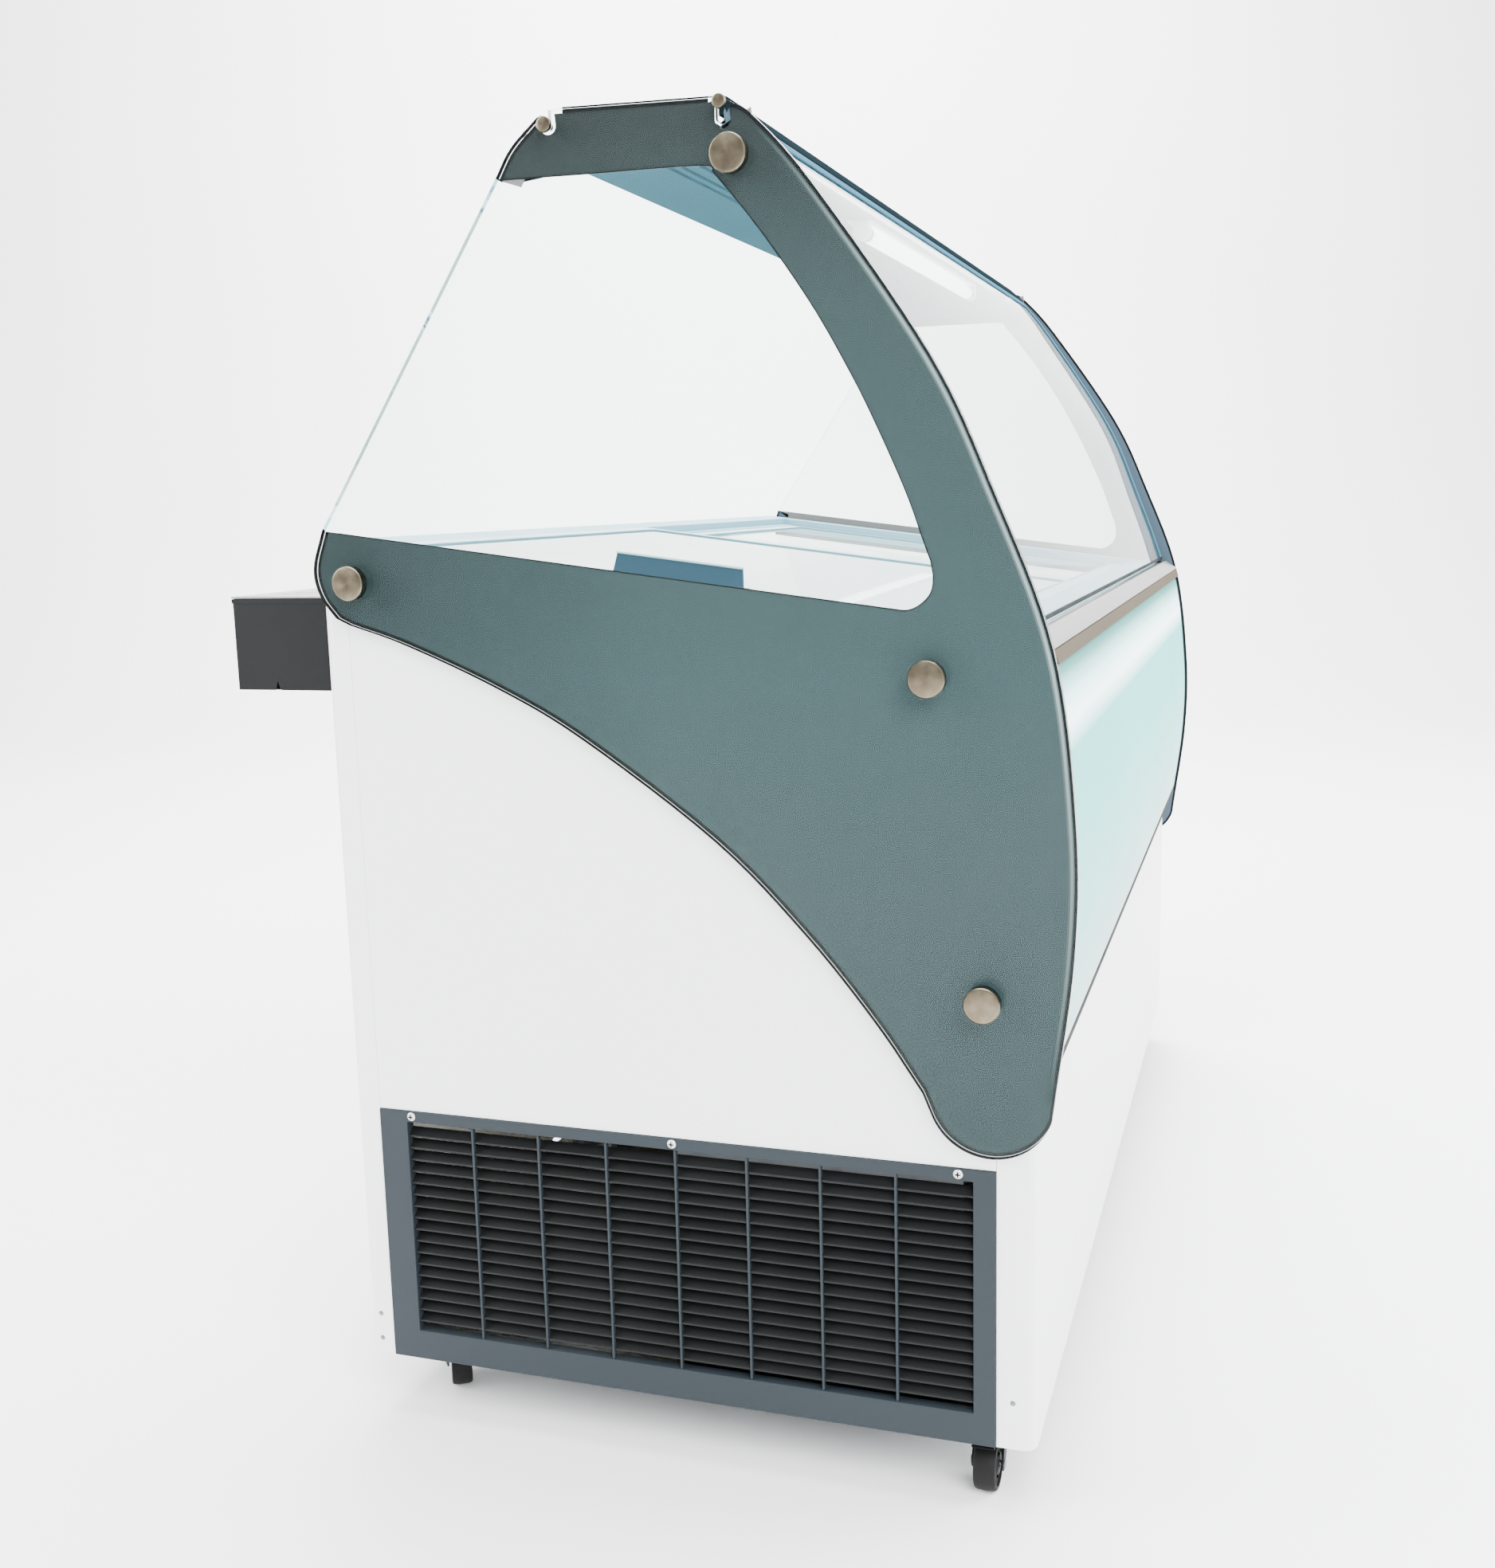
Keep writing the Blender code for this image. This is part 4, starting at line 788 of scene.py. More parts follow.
def front_window():
    path = front_path()
    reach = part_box("front_glass")[1].x
    pane = prism("front_pane", strip(path, FRONT_SHEET), YZ, -reach, reach, CLEAR, 0.0006)
    piece(pane, "front_window", "front_glass")
    for end, side in SIDES:
        front_rail(end, side, path, reach)
    foot_y = path[-1][0]
    seal_low, seal_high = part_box("sill_profile")
    seal_path = [(foot_y - 0.0006, 0.7900), (foot_y - 0.0004, 0.7882), (foot_y + 0.0052, 0.7882),
                 (foot_y + 0.0046, 0.7856), (foot_y + 0.0004, 0.7852),
                 (foot_y - 0.0016, 0.7862), (foot_y - 0.0016, 0.7900)]
    seal = prism("front_glass_seal", seal_path, YZ, seal_low.x + 0.002, seal_high.x - 0.002,
                 SEAL, 0.0002)
    piece(seal, "front_window")
    top_path = curve_through(path[:3], 8)
    long = sum((Vector(b) - Vector(a)).length for a, b in zip(path[:2], path[1:3]))
    top_path = top_path[:max(3, round(len(top_path) * 0.0115 / long) + 1)]
    lip = prism("top_rail_lip", band(top_path, -0.0016, -0.0002), YZ, -reach, reach, RAIL, 0.0003)
    piece(lip, "front_window")


def light_box():
    """The lit panel with its painted highlight band, dark rubber beads and lines at its edges, and
    the light strips in the tray behind it.
    """
    low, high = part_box("light_box_panel")
    edge = [point for point in front_edge() if PANEL_LOW - 0.010 < point[1] < PANEL_TOP]
    path = inset(edge, 0.0045, 0.0045)
    path = [(path[0][0] + 0.0040, PANEL_TOP), *path]
    path[-1] = (path[-1][0], PANEL_LOW)
    panel = prism("light_panel", strip(path, 0.003), YZ, low.x, high.x, LIT, 0.0005)
    piece(panel, "cabinet", "light_box_panel")
    tray_low, tray_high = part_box("light_box_tray")
    for k, z in enumerate((0.500, 0.590, 0.680)):
        tape = boxes(f"light_strip_{k}", [((tray_low.x + 0.02, -0.3716, z - 0.004),
                                           (tray_high.x - 0.02, -0.3708, z + 0.004))], LAMP)
        piece(tape, "cabinet")
        pitch = (tray_high.x - tray_low.x - 0.06) / LIGHT_CHIPS
        middles = [tray_low.x + 0.03 + pitch * (j + 0.5) for j in range(LIGHT_CHIPS)]
        chips = [((x - 0.0025, -0.3724, z - 0.0018), (x + 0.0025, -0.3716, z + 0.0018))
                 for x in middles]
        piece(boxes(f"light_chips_{k}", chips, GLOW), "cabinet")
    for name, at, z in (("top", path[0][0], PANEL_TOP - 0.0007),
                        ("low", path[-1][0], PANEL_LOW + 0.0006)):
        bead = boxes(f"light_box_{name}_bead", [((low.x, at + 0.0032, z - 0.0012),
                                                (high.x, at + 0.0056, z + 0.0004))], RUBBER)
        piece(bead, "cabinet")
    lower = boxes("light_box_low_line", [((low.x, path[-1][0] - 0.0020, PANEL_LOW - 0.0008),
                                          (high.x, path[-1][0] - 0.0001, PANEL_LOW + 0.0046))],
                  RUBBER)
    piece(lower, "cabinet")
    for end, side in SIDES:
        face = side * high.x
        line = prism(f"light_box_end_line_{end}", band(path, -0.0005, -0.0001), YZ,
                     *sorted((face, face - side * 0.0016)), RUBBER)
        piece(line, "cabinet")


front_window()
light_box()


# ---- canopy and lamp ------------------------------------------------------------------
def canopy():
    low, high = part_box("canopy_beam")
    under = low.z
    grooves = []
    for y in (-0.047, -0.058, -0.074):
        grooves += [(y + 0.0024, under), (y + 0.0019, under + 0.003),
                    (y - 0.0019, under + 0.003), (y - 0.0024, under)]
    nose = arc((-0.1332, under + 0.0032), 0.0032, -100, -185, 5)
    outer = [(0.026, under), *grooves, *nose, (-0.1120, 1.1890), (-0.104, high.z - 0.0002),
             (0.016, high.z - 0.0002), (0.026, 1.188)]
    beam = prism("canopy_shell", outer, YZ, low.x + 0.0012, high.x - 0.0012, CANOPY, 0.0007)
    piece(beam, "cabinet", "canopy_beam")
    for end, side in SIDES:
        inner = side * (high.x - 0.0012)
        cap = prism(f"canopy_end_{end}", [(0.0265, under - 0.0002), (-0.130, under - 0.0002),
                                          (-0.130, under + 0.006), (-0.106, 1.1940),
                                          (0.016, 1.1960), (0.0260, 1.1885)], YZ,
                    *sorted((inner, side * high.x)), SLATE, 0.0003)
        piece(cap, "cabinet")
    for k, x in enumerate((-0.60, -0.34, 0.34, 0.60)):
        screw(f"canopy_screw_{k}", (x, -0.100, under - 0.0003), (0, 0, -1), 0.0035, ZINC,
              "cabinet")


def screw(name, place, direction, radius, finish, body):
    """A pan-head screw with a cross recess."""
    tall = radius * 0.42
    profile = [(0.0, tall), (radius * 0.45, tall * 0.98), (radius * 0.8, tall * 0.72),
               (radius, tall * 0.2), (radius, 0.0)]
    head = lathe(name, profile, place, direction, finish, 24)
    piece(head, body)
    bm = bmesh.new()
    wide = radius * 0.16
    long = radius * 0.55
    box_into(bm, (-long, -wide, tall * 0.9), (long, wide, tall * 1.06))
    box_into(bm, (-wide, -long, tall * 0.9), (wide, long, tall * 1.06))
    recess = new_object(f"{name}_recess", bm, BLACK)
    recess.rotation_mode = "QUATERNION"
    recess.rotation_quaternion = head.rotation_quaternion
    recess.location = place
    piece(recess, body)


def lamp():
    low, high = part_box("lamp_fixture")
    tube_low, tube_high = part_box("lamp_tube")
    y = (tube_low.y + tube_high.y) / 2
    z = (tube_low.z + tube_high.z) / 2
    body_y = (low.y + high.y) / 2
    top = high.z
    batten = prism("lamp_batten", [(body_y - 0.0128, top), (body_y + 0.0128, top),
                                   (body_y + 0.0110, top - 0.0029),
                                   (body_y - 0.0110, top - 0.0029)], YZ,
                   low.x + 0.002, high.x - 0.002, LAMP, 0.0006)
    piece(batten, "cabinet", "lamp_fixture")
    for end, side in SIDES:
        face = side * high.x
        inner = side * (high.x - 0.0132)
        block = prism(f"lamp_socket_{end}",
                      [(y - 0.0086, top - 0.001), (y + 0.0086, top - 0.001),
                       *arc((y, z), 0.0088, 0, -180, 10)], YZ,
                      *sorted((face, inner)), LAMP, 0.0009)
        piece(block, "cabinet")
        cap = lathe(f"lamp_cap_{end}", [(0.0, 0.0), (0.0079, 0.0), (0.0081, 0.0006),
                                        (0.0081, 0.0100), (0.0076, 0.0112), (0.0, 0.0112)],
                    (side * (high.x - 0.0245), y, z), (side, 0, 0), ALUMINIUM, 32)
        piece(cap, "cabinet")
    radius = (tube_high.z - tube_low.z) / 2
    long = tube_high.x - 0.004
    glass = lathe("lamp_tube_glow", [(0.0, -long), (radius * 0.9, -long), (radius, -long + 0.001),
                                     (radius, long - 0.001), (radius * 0.9, long), (0.0, long)],
                  (0.0, y, z), (1, 0, 0), TUBE_GLOW, 32)
    piece(glass, "cabinet", "lamp_tube")


canopy()
lamp()


# ---- rim, lids and tub ----------------------------------------------------------------
def plate_with_hole(name, outer, hole, low, high, finish, bevel, round_outer=0.0, round_hole=0.0):
    """A rectangular plate in the rim's slope; outer and hole are (x0, v0, x1, v1)."""
    outlines = [rounded(outer, round_outer)]
    if hole:
        outlines.append(rounded(hole, round_hole))
    middle = (low + high) / 2
    made = filled(name, outlines, RIM_PLACE @ Matrix.Translation((0, 0, middle)),
                  high - low, finish)
    return soften(made, bevel)


def rounded(corners, radius):
    x_low, v_low, x_high, v_high = corners
    if radius < 0.0001:
        return [(x_low, v_low), (x_high, v_low), (x_high, v_high), (x_low, v_high)]
    outline = arc((x_high - radius, v_high - radius), radius, 0, 90, 6)
    outline += arc((x_low + radius, v_high - radius), radius, 90, 180, 6)
    outline += arc((x_low + radius, v_low + radius), radius, 180, 270, 6)
    outline += arc((x_high - radius, v_low + radius), radius, 270, 360, 6)
    return outline


def centred(half_x, half_v):
    return (-half_x, -half_v, half_x, half_v)


def rim():
    levels = (("rim_base", (0.615, 0.255), -0.0235, -0.0182, 0.02),
              ("rim_lower_track", (0.645, 0.2705), -0.0181, -0.0087, 0.004),
              ("rim_upper_track", (0.645, 0.2855), -0.0086, -0.0001, 0.004))
    for name, hole, low, high, corner in levels:
        made = plate_with_hole(name, centred(0.681, 0.322), centred(*hole), low, high, RIM,
                               0.0008, 0.006, corner)
        piece(made, "cabinet", *(("rim_frame",) if name == "rim_base" else ()))


def grown(corners, amount):
    return (corners[0] - amount, corners[1] - amount, corners[2] + amount, corners[3] + amount)


def lid(name, top, half_v, handle_outline, handle_x, handle_wide):
    """A lid: ledge and border of its frame, pane, bead round the pane, and handle."""
    low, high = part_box(f"{name}_frame")
    outer = (low.x, -half_v, high.x, half_v)
    light = grown(outer, -LID_BORDER)
    seat = grown(light, 0.008)
    base = plate_with_hole(f"{name}_ledge", outer, light, top - 0.0080, top - 0.0056, LID_RIM,
                           0.0005, 0.004, 0.010)
    border = plate_with_hole(f"{name}_border", outer, seat, top - 0.0057, top - 0.0001,
                             LID_RIM, 0.0009, 0.004, 0.012)
    pane = plate_with_hole(f"{name}_pane", grown(seat, -0.0004), None, top - 0.0052,
                           top - 0.0012, LID_GLASS, 0.0004, 0.012)
    bead = plate_with_hole(f"{name}_bead", grown(seat, 0.0004), grown(seat, -0.0034),
                           top - 0.0014, top + 0.0003, LID_BEAD, 0.0005, 0.012, 0.009)
    piece(base, name, f"{name}_frame")
    piece(pane, name, f"{name}_glass")
    piece(border, name)
    piece(bead, name)
    handle = prism(f"{name}_handle", handle_outline, RIM_PLACE @ YZ,
                   handle_x - handle_wide / 2, handle_x + handle_wide / 2, HANDLE, 0.0010)
    piece(handle, name)


def lids():
    lid("lid_left", 0.0, 0.2850, [(-0.0695, -0.003), (0.0565, -0.003), (0.0530, 0.0208),
                                  (-0.0660, 0.0208)], -0.6285, 0.0040)
    lid("lid_right", -0.0095, 0.2700, [(-0.045, -0.0125), (0.045, -0.0125), (0.026, 0.0068),
                                       (-0.026, 0.0068)], 0.6345, 0.0060)
    toe = prism("lid_left_handle_foot", rounded((-0.0715, -0.0005, 0.0590, 0.0030), 0.0),
                RIM_PLACE @ YZ, -0.6305, -0.6195, HANDLE, 0.0010)
    piece(toe, "lid_left")
    for k in range(3):
        up = 0.0065 + 0.0048 * k
        rib = prism(f"lid_left_handle_rib_{k}", [(-0.0640, up), (0.0510, up), (0.0508, up + 0.0012),
                                                 (-0.0638, up + 0.0012)],
                    RIM_PLACE @ YZ, -0.6270, -0.6258, HANDLE, 0.0003)
        piece(rib, "lid_left")
    crest = prism("lid_left_handle_crest", rounded((-0.0665, 0.0192, 0.0535, 0.0210), 0.0),
                  RIM_PLACE @ YZ, -0.6315, -0.6255, LID_RIM, 0.0006)
    piece(crest, "lid_left")


def tub():
    low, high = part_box("inner_tub")
    near, far = 0.0014, 0.0032
    for k in range(7):
        z = 0.470 + 0.045 * k
        top = z + 0.006
        y_low, y_high = low.y + 0.0030, high.y - 0.0030
        ring = [((low.x + near, low.y + near, z), (high.x - near, low.y + far, top)),
                ((low.x + near, high.y - far, z), (high.x - near, high.y - near, top)),
                ((low.x + near, y_low, z), (low.x + far, y_high, top)),
                ((high.x - far, y_low, z), (high.x - near, y_high, top))]
        piece(boxes(f"tub_rib_{k}", ring, TUB, 0.0006), "cabinet")
    drain = lathe("tub_drain", [(0.0, 0.0030), (0.0100, 0.0030), (0.0110, 0.0022),
                                (0.0200, 0.0016), (0.0215, 0.0004), (0.0215, 0.0)],
                  (-0.52, 0.15, 0.4201), (0, 0, 1), LAMP, 32)
    piece(drain, "cabinet")


rim()
lids()
tub()


# ---- grilles --------------------------------------------------------------------------
def grille(end, side):
    low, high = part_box(f"grille_{end}")
    face = max(abs(low.x), abs(high.x))
    back = face - 0.0120
    middle = side * (face + back) / 2
    y_low, z_low, y_high, z_high = GRILLE_HOLE
    outline = rounded((low.y, low.z, high.y, high.z), 0.0)
    frame_piece = filled(f"grille_{end}_frame", [outline, rounded(GRILLE_HOLE, 0.0)],
                         Matrix.Translation((middle, 0, 0)) @ YZ, face - back, SLATE)
    soften(frame_piece, 0.0008)
    piece(frame_piece, "cabinet", f"grille_{end}")
    pitch = (z_high - z_low) / (SLATS + 1)
    near, far = side * (face - 0.0026), side * (face - 0.0114)
    for k in range(SLATS):
        z = z_low + pitch * (k + 1)
        outline = [(near, z - 0.0036), (near, z - 0.0018), (near - side * 0.0009, z - 0.0014),
                   (far, z + 0.0042), (far, z + 0.0030), (near - side * 0.0012, z - 0.0034)]
        # painted shade: the slats take the darker copy of the grille plastic
        blade = prism(f"grille_{end}_slat_{k:02d}", outline, XZ, -y_high, -y_low, DARK_SLAT,
                      0.0002)
        piece(blade, "cabinet")
    bar_x = sorted((side * (face - 0.0012), side * (face - 0.0060)))
    for k in range(1, COLUMNS):
        y = y_low + (y_high - y_low) * k / COLUMNS
        bar = prism(f"grille_{end}_bar_{k}", rounded((y - 0.0012, z_low, y + 0.0012, z_high), 0.0),
                    YZ, *bar_x, SLATE, 0.0005)
        piece(bar, "cabinet")
    for k, y in enumerate((0.231, -0.037, -0.301)):
        screw(f"grille_{end}_screw_{k}", (side * face, y, 0.3170), (side, 0, 0), 0.0042, PALE_SCREW,
              "cabinet")


for end, side in SIDES:
    grille(end, side)


# ---- sill -----------------------------------------------------------------------------
def sill():
    low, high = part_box("sill_profile")
    nose_y, nose_z = low.y, SILL_NOSE_Z
    face = prism("sill_face", [(high.y, 0.7808), (-0.3665, 0.7837), (-0.3685, 0.7826),
                               (nose_y + 0.0008, nose_z + 0.0010), (nose_y, nose_z),
                               (nose_y, 0.7710), (nose_y + 0.0026, 0.7710),
                               (nose_y + 0.0028, nose_z - 0.0008), (-0.3655, 0.7805),
                               (high.y, 0.7778)], YZ, low.x, high.x, ALUMINIUM, 0.0003)
    piece(face, "cabinet", "sill_profile")
    strip_low, strip_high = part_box("sill_strip")
    ribbon = prism("sill_ribbon", [(strip_high.y, 0.7701), (nose_y - 0.0010, 0.7701),
                                   (nose_y - 0.0044, 0.7593), (nose_y - 0.0020, 0.7593),
                                   (nose_y + 0.0010, 0.7680), (strip_high.y, 0.7680)], YZ,
                   strip_low.x, strip_high.x, TAN, 0.0003)
    piece(ribbon, "cabinet", "sill_strip")
    line = boxes("sill_line", [((low.x, nose_y + 0.0004, 0.77015),
                                (high.x, nose_y + 0.0030, 0.77095))], RUBBER)
    piece(line, "cabinet")
    for end, side in SIDES:
        stop = boxes(f"sill_stop_{end}", [((-0.009, -0.003, 0.0), (0.009, 0.003, 0.0026))],
                     RUBBER, 0.0008)
        stop.location = (side * 0.655, -0.3590, 0.7822)
        bpy.context.view_layer.update()
        piece(stop, "cabinet")


# ---- scoop bin and controls -----------------------------------------------------------
def scoop_bin():
    low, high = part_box("scoop_bin")
    plate_low, plate_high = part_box("scoop_bin_plate")
    bar = [((low.x - 0.0008, high.y - 0.001, high.z - 0.0045),
            (high.x + 0.0008, high.y + 0.0008, high.z - 0.0004)),
           ((low.x - 0.0008, low.y + 0.001, high.z - 0.0045),
            (low.x + 0.001, high.y + 0.0008, high.z - 0.0004)),
           ((high.x - 0.001, low.y + 0.001, high.z - 0.0045),
            (high.x + 0.0008, high.y + 0.0008, high.z - 0.0004))]
    piece(boxes("scoop_bin_hem", bar, CHARCOAL, 0.0006), "cabinet")
    for k, x in enumerate((low.x + 0.030, high.x - 0.030)):
        screw(f"scoop_bin_screw_{k}", (x, low.y + 0.0018, low.z + 0.055), (0, 1, 0), 0.0045,
              PALE_SCREW, "cabinet")
    middle = (plate_low.x + plate_high.x) / 2
    outlines = [rounded((plate_low.x, plate_low.y, plate_high.x, plate_high.y), 0.0)]
    for k in range(-3, 4):
        x = middle + k * 0.030
        near, far = low.y + 0.022, high.y - 0.022
        outlines.append([*arc((x, far - 0.0035), 0.0035, 0, 180, 6),
                         *arc((x, near + 0.0035), 0.0035, 180, 360, 6)])
    sheet = filled("scoop_bin_cover", outlines,
                   Matrix.Translation((0, 0, plate_high.z - 0.0008)), 0.0016, ALUMINIUM)
    soften(sheet, 0.0003)
    piece(sheet, "bin_plate", "scoop_bin_plate")
    keeper = boxes("scoop_bin_keeper", [((low.x + 0.0028, low.y + 0.0028, plate_high.z - 0.0096),
                                         (high.x - 0.0028, low.y + 0.0045,
                                          plate_high.z - 0.0010))], ALUMINIUM, 0.0004)
    piece(keeper, "bin_plate")


def controls():
    low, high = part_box("control_bezel")
    ring = prism("control_panel_line", rounded((low.x + 0.004, low.z + 0.004, high.x - 0.004,
                                                high.z - 0.004), 0.004),
                 XZ, -high.y - 0.0003, -high.y + 0.0004, SLATE)
    piece(ring, "cabinet")
    corners = [(x, z) for z in (low.z + 0.009, high.z - 0.009)
               for x in (low.x + 0.009, high.x - 0.009)]
    for k, (x, z) in enumerate(corners):
        screw(f"control_screw_{k}", (x, high.y, z), (0, 1, 0), 0.0030, ZINC, "cabinet")
    for k in range(9):
        angle = math.radians(-120 + 30 * k)
        x = KNOB[0] + DIAL_R * math.sin(angle)
        z = KNOB[1] + DIAL_R * math.cos(angle)
        dot = lathe(f"dial_dot_{k}", [(0.0, 0.0006), (0.0009, 0.0004), (0.0011, 0.0)],
                    (x, high.y, z), (0, 1, 0), PALE_SCREW, 12)
        piece(dot, "cabinet")
    inlet_low, inlet_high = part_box("power_inlet")
    for k in (-1, 0, 1):
        x = (inlet_low.x + inlet_high.x) / 2 + k * 0.007
        z = 0.200 + (0.002 if k == 0 else -0.001)
        blade = boxes(f"inlet_pin_{k + 1}", [((x - 0.001, inlet_low.y + 0.0015, z - 0.002),
                                              (x + 0.001, inlet_low.y + 0.0068, z + 0.002))],
                      ALUMINIUM, 0.0002)
        piece(blade, "cabinet")


sill()
scoop_bin()
controls()


# ---- cabinet details ------------------------------------------------------------------
def cabinet_details():
    for end, side in SIDES:
        for k, (y, z) in enumerate(((FRONT_SEAM - 0.0145, 0.109), (BACK_SEAM + 0.0140, 0.106),
                                    (BACK_SEAM + 0.0140, 0.080))):
            rivet = lathe(f"rivet_{end}_{k}", [(0.0, 0.0009), (0.0012, 0.0008), (0.0024, 0.0002),
                                               (0.0026, 0.0)],
                          (side * WALL_X, y, z), (side, 0, 0), ZINC, 20)
            piece(rivet, "cabinet")
        for name, y in (("front", FRONT_SEAM), ("rear", BACK_SEAM)):
            top = 0.755 if name == "front" else 0.838
            line = boxes(f"seam_{name}_{end}",
                         [((side * (WALL_X - 0.0011) - 0.0004, y - 0.0001, GRILLE_TOP + 0.001),
                           (side * (WALL_X - 0.0011) + 0.0004, y + 0.0004, top))], SEAM)
            piece(line, "cabinet")
    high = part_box("rear_skin")[1]
    for k, x in enumerate((-0.655, -0.33, 0.0, 0.33, 0.655)):
        screw(f"rear_screw_{k}", (x, high.y, 0.345), (0, 1, 0), 0.0042, PALE_SCREW, "cabinet")


def machine():
    """Pipes between the compressor, the condenser and the insulated body."""
    runs = {
        "suction": [(-0.330, 0.135, 0.200), (-0.300, 0.175, 0.215), (-0.240, 0.185, 0.235),
                    (-0.200, 0.180, 0.300), (-0.195, 0.180, 0.334)],
        "discharge": [(-0.405, 0.040, 0.190), (-0.440, 0.020, 0.225), (-0.500, -0.010, 0.270),
                      (-0.570, -0.050, 0.285), (-0.612, -0.080, 0.285)],
        "liquid": [(-0.612, -0.230, 0.095), (-0.560, -0.300, 0.092), (-0.420, -0.318, 0.092),
                   (-0.300, -0.270, 0.110), (-0.230, -0.120, 0.220), (-0.215, 0.060, 0.300),
                   (-0.215, 0.120, 0.334)],
    }
    for name, points in runs.items():
        piece(tube(f"{name}_pipe", points, 0.0032 if name != "suction" else 0.0046, COPPER),
              "cabinet")
    drier = lathe("filter_drier", [(0.0, -0.045), (0.0035, -0.045), (0.0040, -0.036),
                                   (0.0105, -0.026), (0.0105, 0.026), (0.0040, 0.036),
                                   (0.0035, 0.045), (0.0, 0.045)],
                  (-0.360, -0.305, 0.098), (1, 0.28, 0.03), COPPER, 24)
    piece(drier, "cabinet")
    for k, (x, y) in enumerate(((-0.445, 0.033), (-0.445, 0.127), (-0.275, 0.033),
                                (-0.275, 0.127))):
        foot = lathe(f"compressor_foot_{k}", [(0.0, 0.014), (0.0040, 0.014), (0.0045, 0.0080),
                                              (0.0090, 0.0078), (0.0090, 0.0045),
                                              (0.0045, 0.0043), (0.0, 0.0043)],
                     (x, y, 0.0673), (0, 0, 1), RUBBER, 24)
        piece(foot, "cabinet")
    lead = tube("motor_lead", [(-0.468, -0.165, 0.218), (-0.452, -0.120, 0.236),
                               (-0.440, -0.020, 0.205), (-0.420, 0.060, 0.150),
                               (-0.300, 0.080, 0.152)], 0.0026, BLACK)
    piece(lead, "cabinet")


# ---- castors --------------------------------------------------------------------------
def castor(row, end, side):
    """Crown, bridge, legs and axle of a fork, then its wheel, turned together to the side."""
    x, y = side * CASTOR_X, CASTOR_Y[row]
    wheel = (side * WHEEL_X, y, WHEEL_R)
    name = f"castor_{row}_{end}"
    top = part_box(f"{name}_fork")[1].z
    axis = Matrix.Translation((x, y, 0))
    turn = axis @ Matrix.Rotation(math.radians(-side * CASTOR_TURN[row]), 4, "Z") @ axis.inverted()

    def ride(item, part, *nodes):
        bpy.context.view_layer.update()
        item.matrix_world = turn @ item.matrix_world
        return piece(item, f"{part}_{row}_{end}", *nodes)

    crown = lathe(f"{name}_crown",
                  [(0.0, top), (0.0195, top), (0.0200, top - 0.0006), (0.0200, top - 0.0026),
                   (0.0175, top - 0.0034), (0.0140, top - 0.0040), (0.0150, top - 0.0060),
                   (0.0140, top - 0.0085), (0.0, top - 0.0085)], (x, y, 0), (0, 0, 1), BLACK)
    ride(crown, "fork", f"{name}_fork")
    bridge = boxes(f"{name}_bridge",
                   [((x - 0.0120, y - LEG_IN - LEG_THICK, top - 0.0110),
                     (x + 0.0120, y + LEG_IN + LEG_THICK, top - 0.0080))], BLACK, 0.0010)
    ride(bridge, "fork")
    for k, edge in enumerate((-1, 1)):
        outline = [(x - side * 0.0112, top - 0.0095), (x + side * 0.0112, top - 0.0095),
                   *arc((wheel[0], wheel[2]), 0.0065, 40 if side > 0 else 140,
                        -110 if side > 0 else 290, 8),
                   (x - side * 0.0112, top - 0.0150)]
        centre = -(y + edge * (LEG_IN + LEG_THICK / 2))
        leg = prism(f"{name}_leg_{k}", outline, XZ, centre - LEG_THICK / 2,
                    centre + LEG_THICK / 2, BLACK, 0.0006)
        ride(leg, "fork")
    outside = LEG_IN + LEG_THICK
    reach = outside + 0.0013
    axle = lathe(f"{name}_axle",
                 [(0.0, reach), (0.0034, reach), (0.0042, reach - 0.0006), (0.0042, outside),
                  (0.0026, outside), (0.0026, -outside), (0.0042, -outside),
                  (0.0042, -reach + 0.0006), (0.0034, -reach), (0.0, -reach)],
                 wheel, (0, 1, 0), ZINC, 24)
    ride(axle, "fork")
    castor_wheel(name, wheel, ride)
    if row == "front":
        brake(end, side, y)


def castor_wheel(name, wheel, ride):
    """Tyre, hub and the five ribs between them."""
    tread = lathe(f"{name}_tread",
                  [(0.0200, 0.0100), (0.0222, 0.0104), (0.0240, 0.0096), (0.0249, 0.0072),
                   (WHEEL_R, 0.0), (0.0249, -0.0072), (0.0240, -0.0096), (0.0222, -0.0104),
                   (0.0200, -0.0100), (0.0198, 0.0), (0.0200, 0.0100)],
                  wheel, (0, 1, 0), TREAD, 48)
    ride(tread, "wheel", f"{name}_wheel")
    hub = lathe(f"{name}_hub",
                [(0.0034, 0.0104), (0.0092, 0.0104), (0.0104, 0.0086), (0.0118, 0.0070),
                 (0.0185, 0.0070), (0.0200, 0.0084), (0.0202, 0.0), (0.0200, -0.0084),
                 (0.0185, -0.0070), (0.0118, -0.0070), (0.0104, -0.0086), (0.0092, -0.0104),
                 (0.0034, -0.0104), (0.0034, 0.0104)], wheel, (0, 1, 0), BLACK, 48)
    ride(hub, "wheel")
    for k in range(5):
        spoke = Matrix.Translation(wheel) @ Matrix.Rotation(math.tau * k / 5, 4, "Y")
        rib = boxes(f"{name}_rib_{k}", [((0.0100, -0.0086, -0.0009), (0.0192, 0.0086, 0.0009))],
                    BLACK, 0.0003, spoke)
        ride(rib, "wheel")


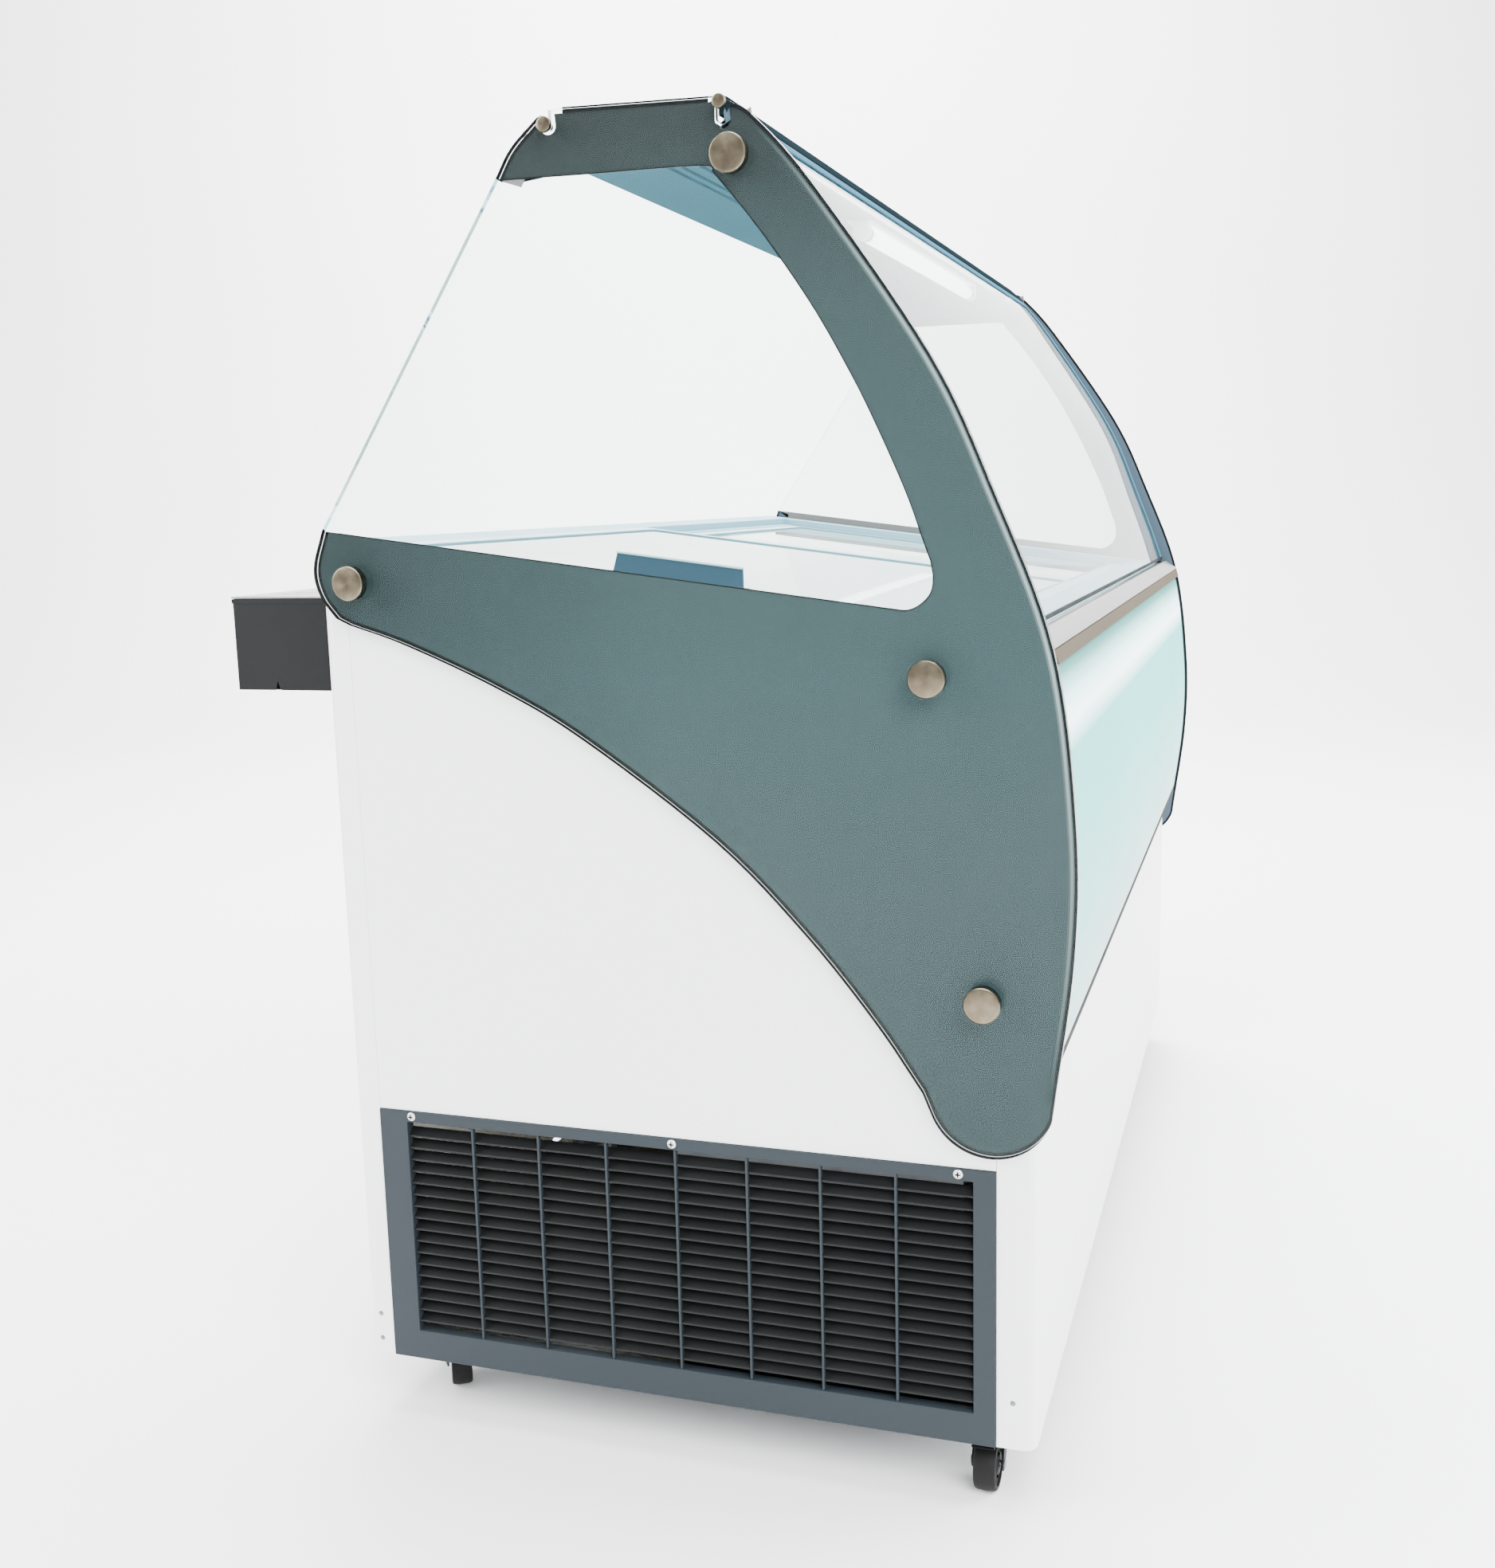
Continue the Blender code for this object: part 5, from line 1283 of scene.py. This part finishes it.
def brake(end, side, y):
    low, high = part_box(f"castor_brake_{end}")
    root, tip = sorted((abs(low.x), abs(high.x)))
    z_low, z_high = low.z, high.z
    outline = [(side * root, z_low), (side * (tip - 0.003), z_low), (side * tip, z_low + 0.0010),
               (side * (tip - 0.0028), z_high), (side * root, z_high)]
    pedal = prism(f"castor_brake_{end}_pedal", outline, XZ, -y - 0.0104, -y + 0.0104, BLACK,
                  0.0008)
    piece(pedal, f"brake_{end}", f"castor_brake_{end}")
    ribs = []
    for k in range(4):
        start = side * (tip - 0.0050 - 0.0026 * k)
        ribs.append(((min(start, start - side * 0.0012), y - 0.0085, z_high - 0.0002),
                     (max(start, start - side * 0.0012), y + 0.0085, z_high + 0.0006)))
    piece(boxes(f"castor_brake_{end}_grip", ribs, BLACK, 0.0002), f"brake_{end}")


cabinet_details()
machine()
for row in ("front", "rear"):
    for end, side in SIDES:
        castor(row, end, side)


# ---- soft edges on the CAD nodes that stay in view --------------------------------------
EDGES = {"front_skin": 0.0004, "rear_skin": 0.0004, "scoop_bin": 0.0005, "light_box_tray": 0.0004,
         "base_tray": 0.0008, "fan_bracket": 0.0008, "compressor": 0.0015, "light_switch": 0.0006,
         "control_bezel": 0.0006, "power_inlet": 0.0005, "thermostat_knob": 0.0004,
         "end_panel_left": 0.0003, "end_panel_right": 0.0003, "fan_blade": 0.0005,
         "inner_tub": 0.0006}
for cad_name, width in EDGES.items():
    cad_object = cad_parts[cad_name]
    weld = cad_object.modifiers.new("weld", "WELD")
    weld.merge_threshold = 0.00001
    soften(cad_object, width)


# ---- floor, light and camera ----------------------------------------------------------
def studio():
    floor_tree = Tree("studio_floor")
    paper = floor_tree.noise(0.6, 2.0)
    floor_tree.set(Base_Color=floor_tree.ramp(paper, [(0.3, (0.86, 0.86, 0.86)),
                                                      (0.7, (0.90, 0.90, 0.90))]),
                   Roughness=0.8)
    bm = bmesh.new()
    sweep = [(-7.0, 0.0), (4.2, 0.0), *arc((4.2, 1.8), 1.8, -90, 0, 10)[1:], (6.0, 6.0)]
    rows = [[bm.verts.new((along, side, up)) for side in (-9.0, 9.0)] for along, up in sweep]
    for first, second in zip(rows, rows[1:]):
        bm.faces.new((first[0], first[1], second[1], second[0]))
    backdrop = new_object("backdrop", bm, floor_tree.material, 60.0)
    backdrop.rotation_euler = (0, 0, math.radians(18.5))
    world = bpy.data.worlds.new("studio")
    bpy.context.scene.world = world
    world.use_nodes = True
    background = world.node_tree.nodes["Background"]
    background.inputs["Color"].default_value = (0.97, 0.985, 1.0, 1.0)
    background.inputs["Strength"].default_value = 1.10
    for name, place, aim, size, power in (
            ("key", (-3.4, -2.4, 3.3), (0.0, 0.0, 0.6), 2.6, 520.0),
            ("fill", (-2.4, 3.6, 2.6), (0.0, 0.0, 0.5), 2.6, 320.0),
            ("front", (1.2, -3.8, 2.6), (0.0, 0.0, 0.6), 2.6, 380.0),
            ("top", (0.4, 0.0, 4.4), (0.0, 0.0, 0.6), 4.0, 560.0),
            ("backdrop", (2.6, 1.0, 4.6), (5.4, 1.8, 1.2), 3.0, 900.0)):
        data = bpy.data.lights.new(name, "AREA")
        data.energy = power
        data.size = size
        lamp_object = bpy.data.objects.new(name, data)
        lamp_object.location = place
        away = Vector(place) - Vector(aim)
        lamp_object.rotation_mode = "QUATERNION"
        lamp_object.rotation_quaternion = away.to_track_quat("Z", "Y")
        bpy.context.scene.collection.objects.link(lamp_object)


def camera():
    data = bpy.data.cameras.new("camera")
    data.lens = 37.80
    data.sensor_width = 36.0
    made = bpy.data.objects.new("camera", data)
    bpy.context.scene.collection.objects.link(made)
    right = (0.31287, -0.94948, -0.02462)
    up = (0.1688, 0.0301, 0.9852)
    back = (-0.93467, -0.31240, 0.16972)
    turn = Matrix((right, up, back)).transposed().to_4x4()
    made.matrix_world = Matrix.Translation((-2.0109, -0.562, 0.8938)) @ turn
    bpy.context.scene.camera = made


studio()
camera()

bpy.context.view_layer.update()
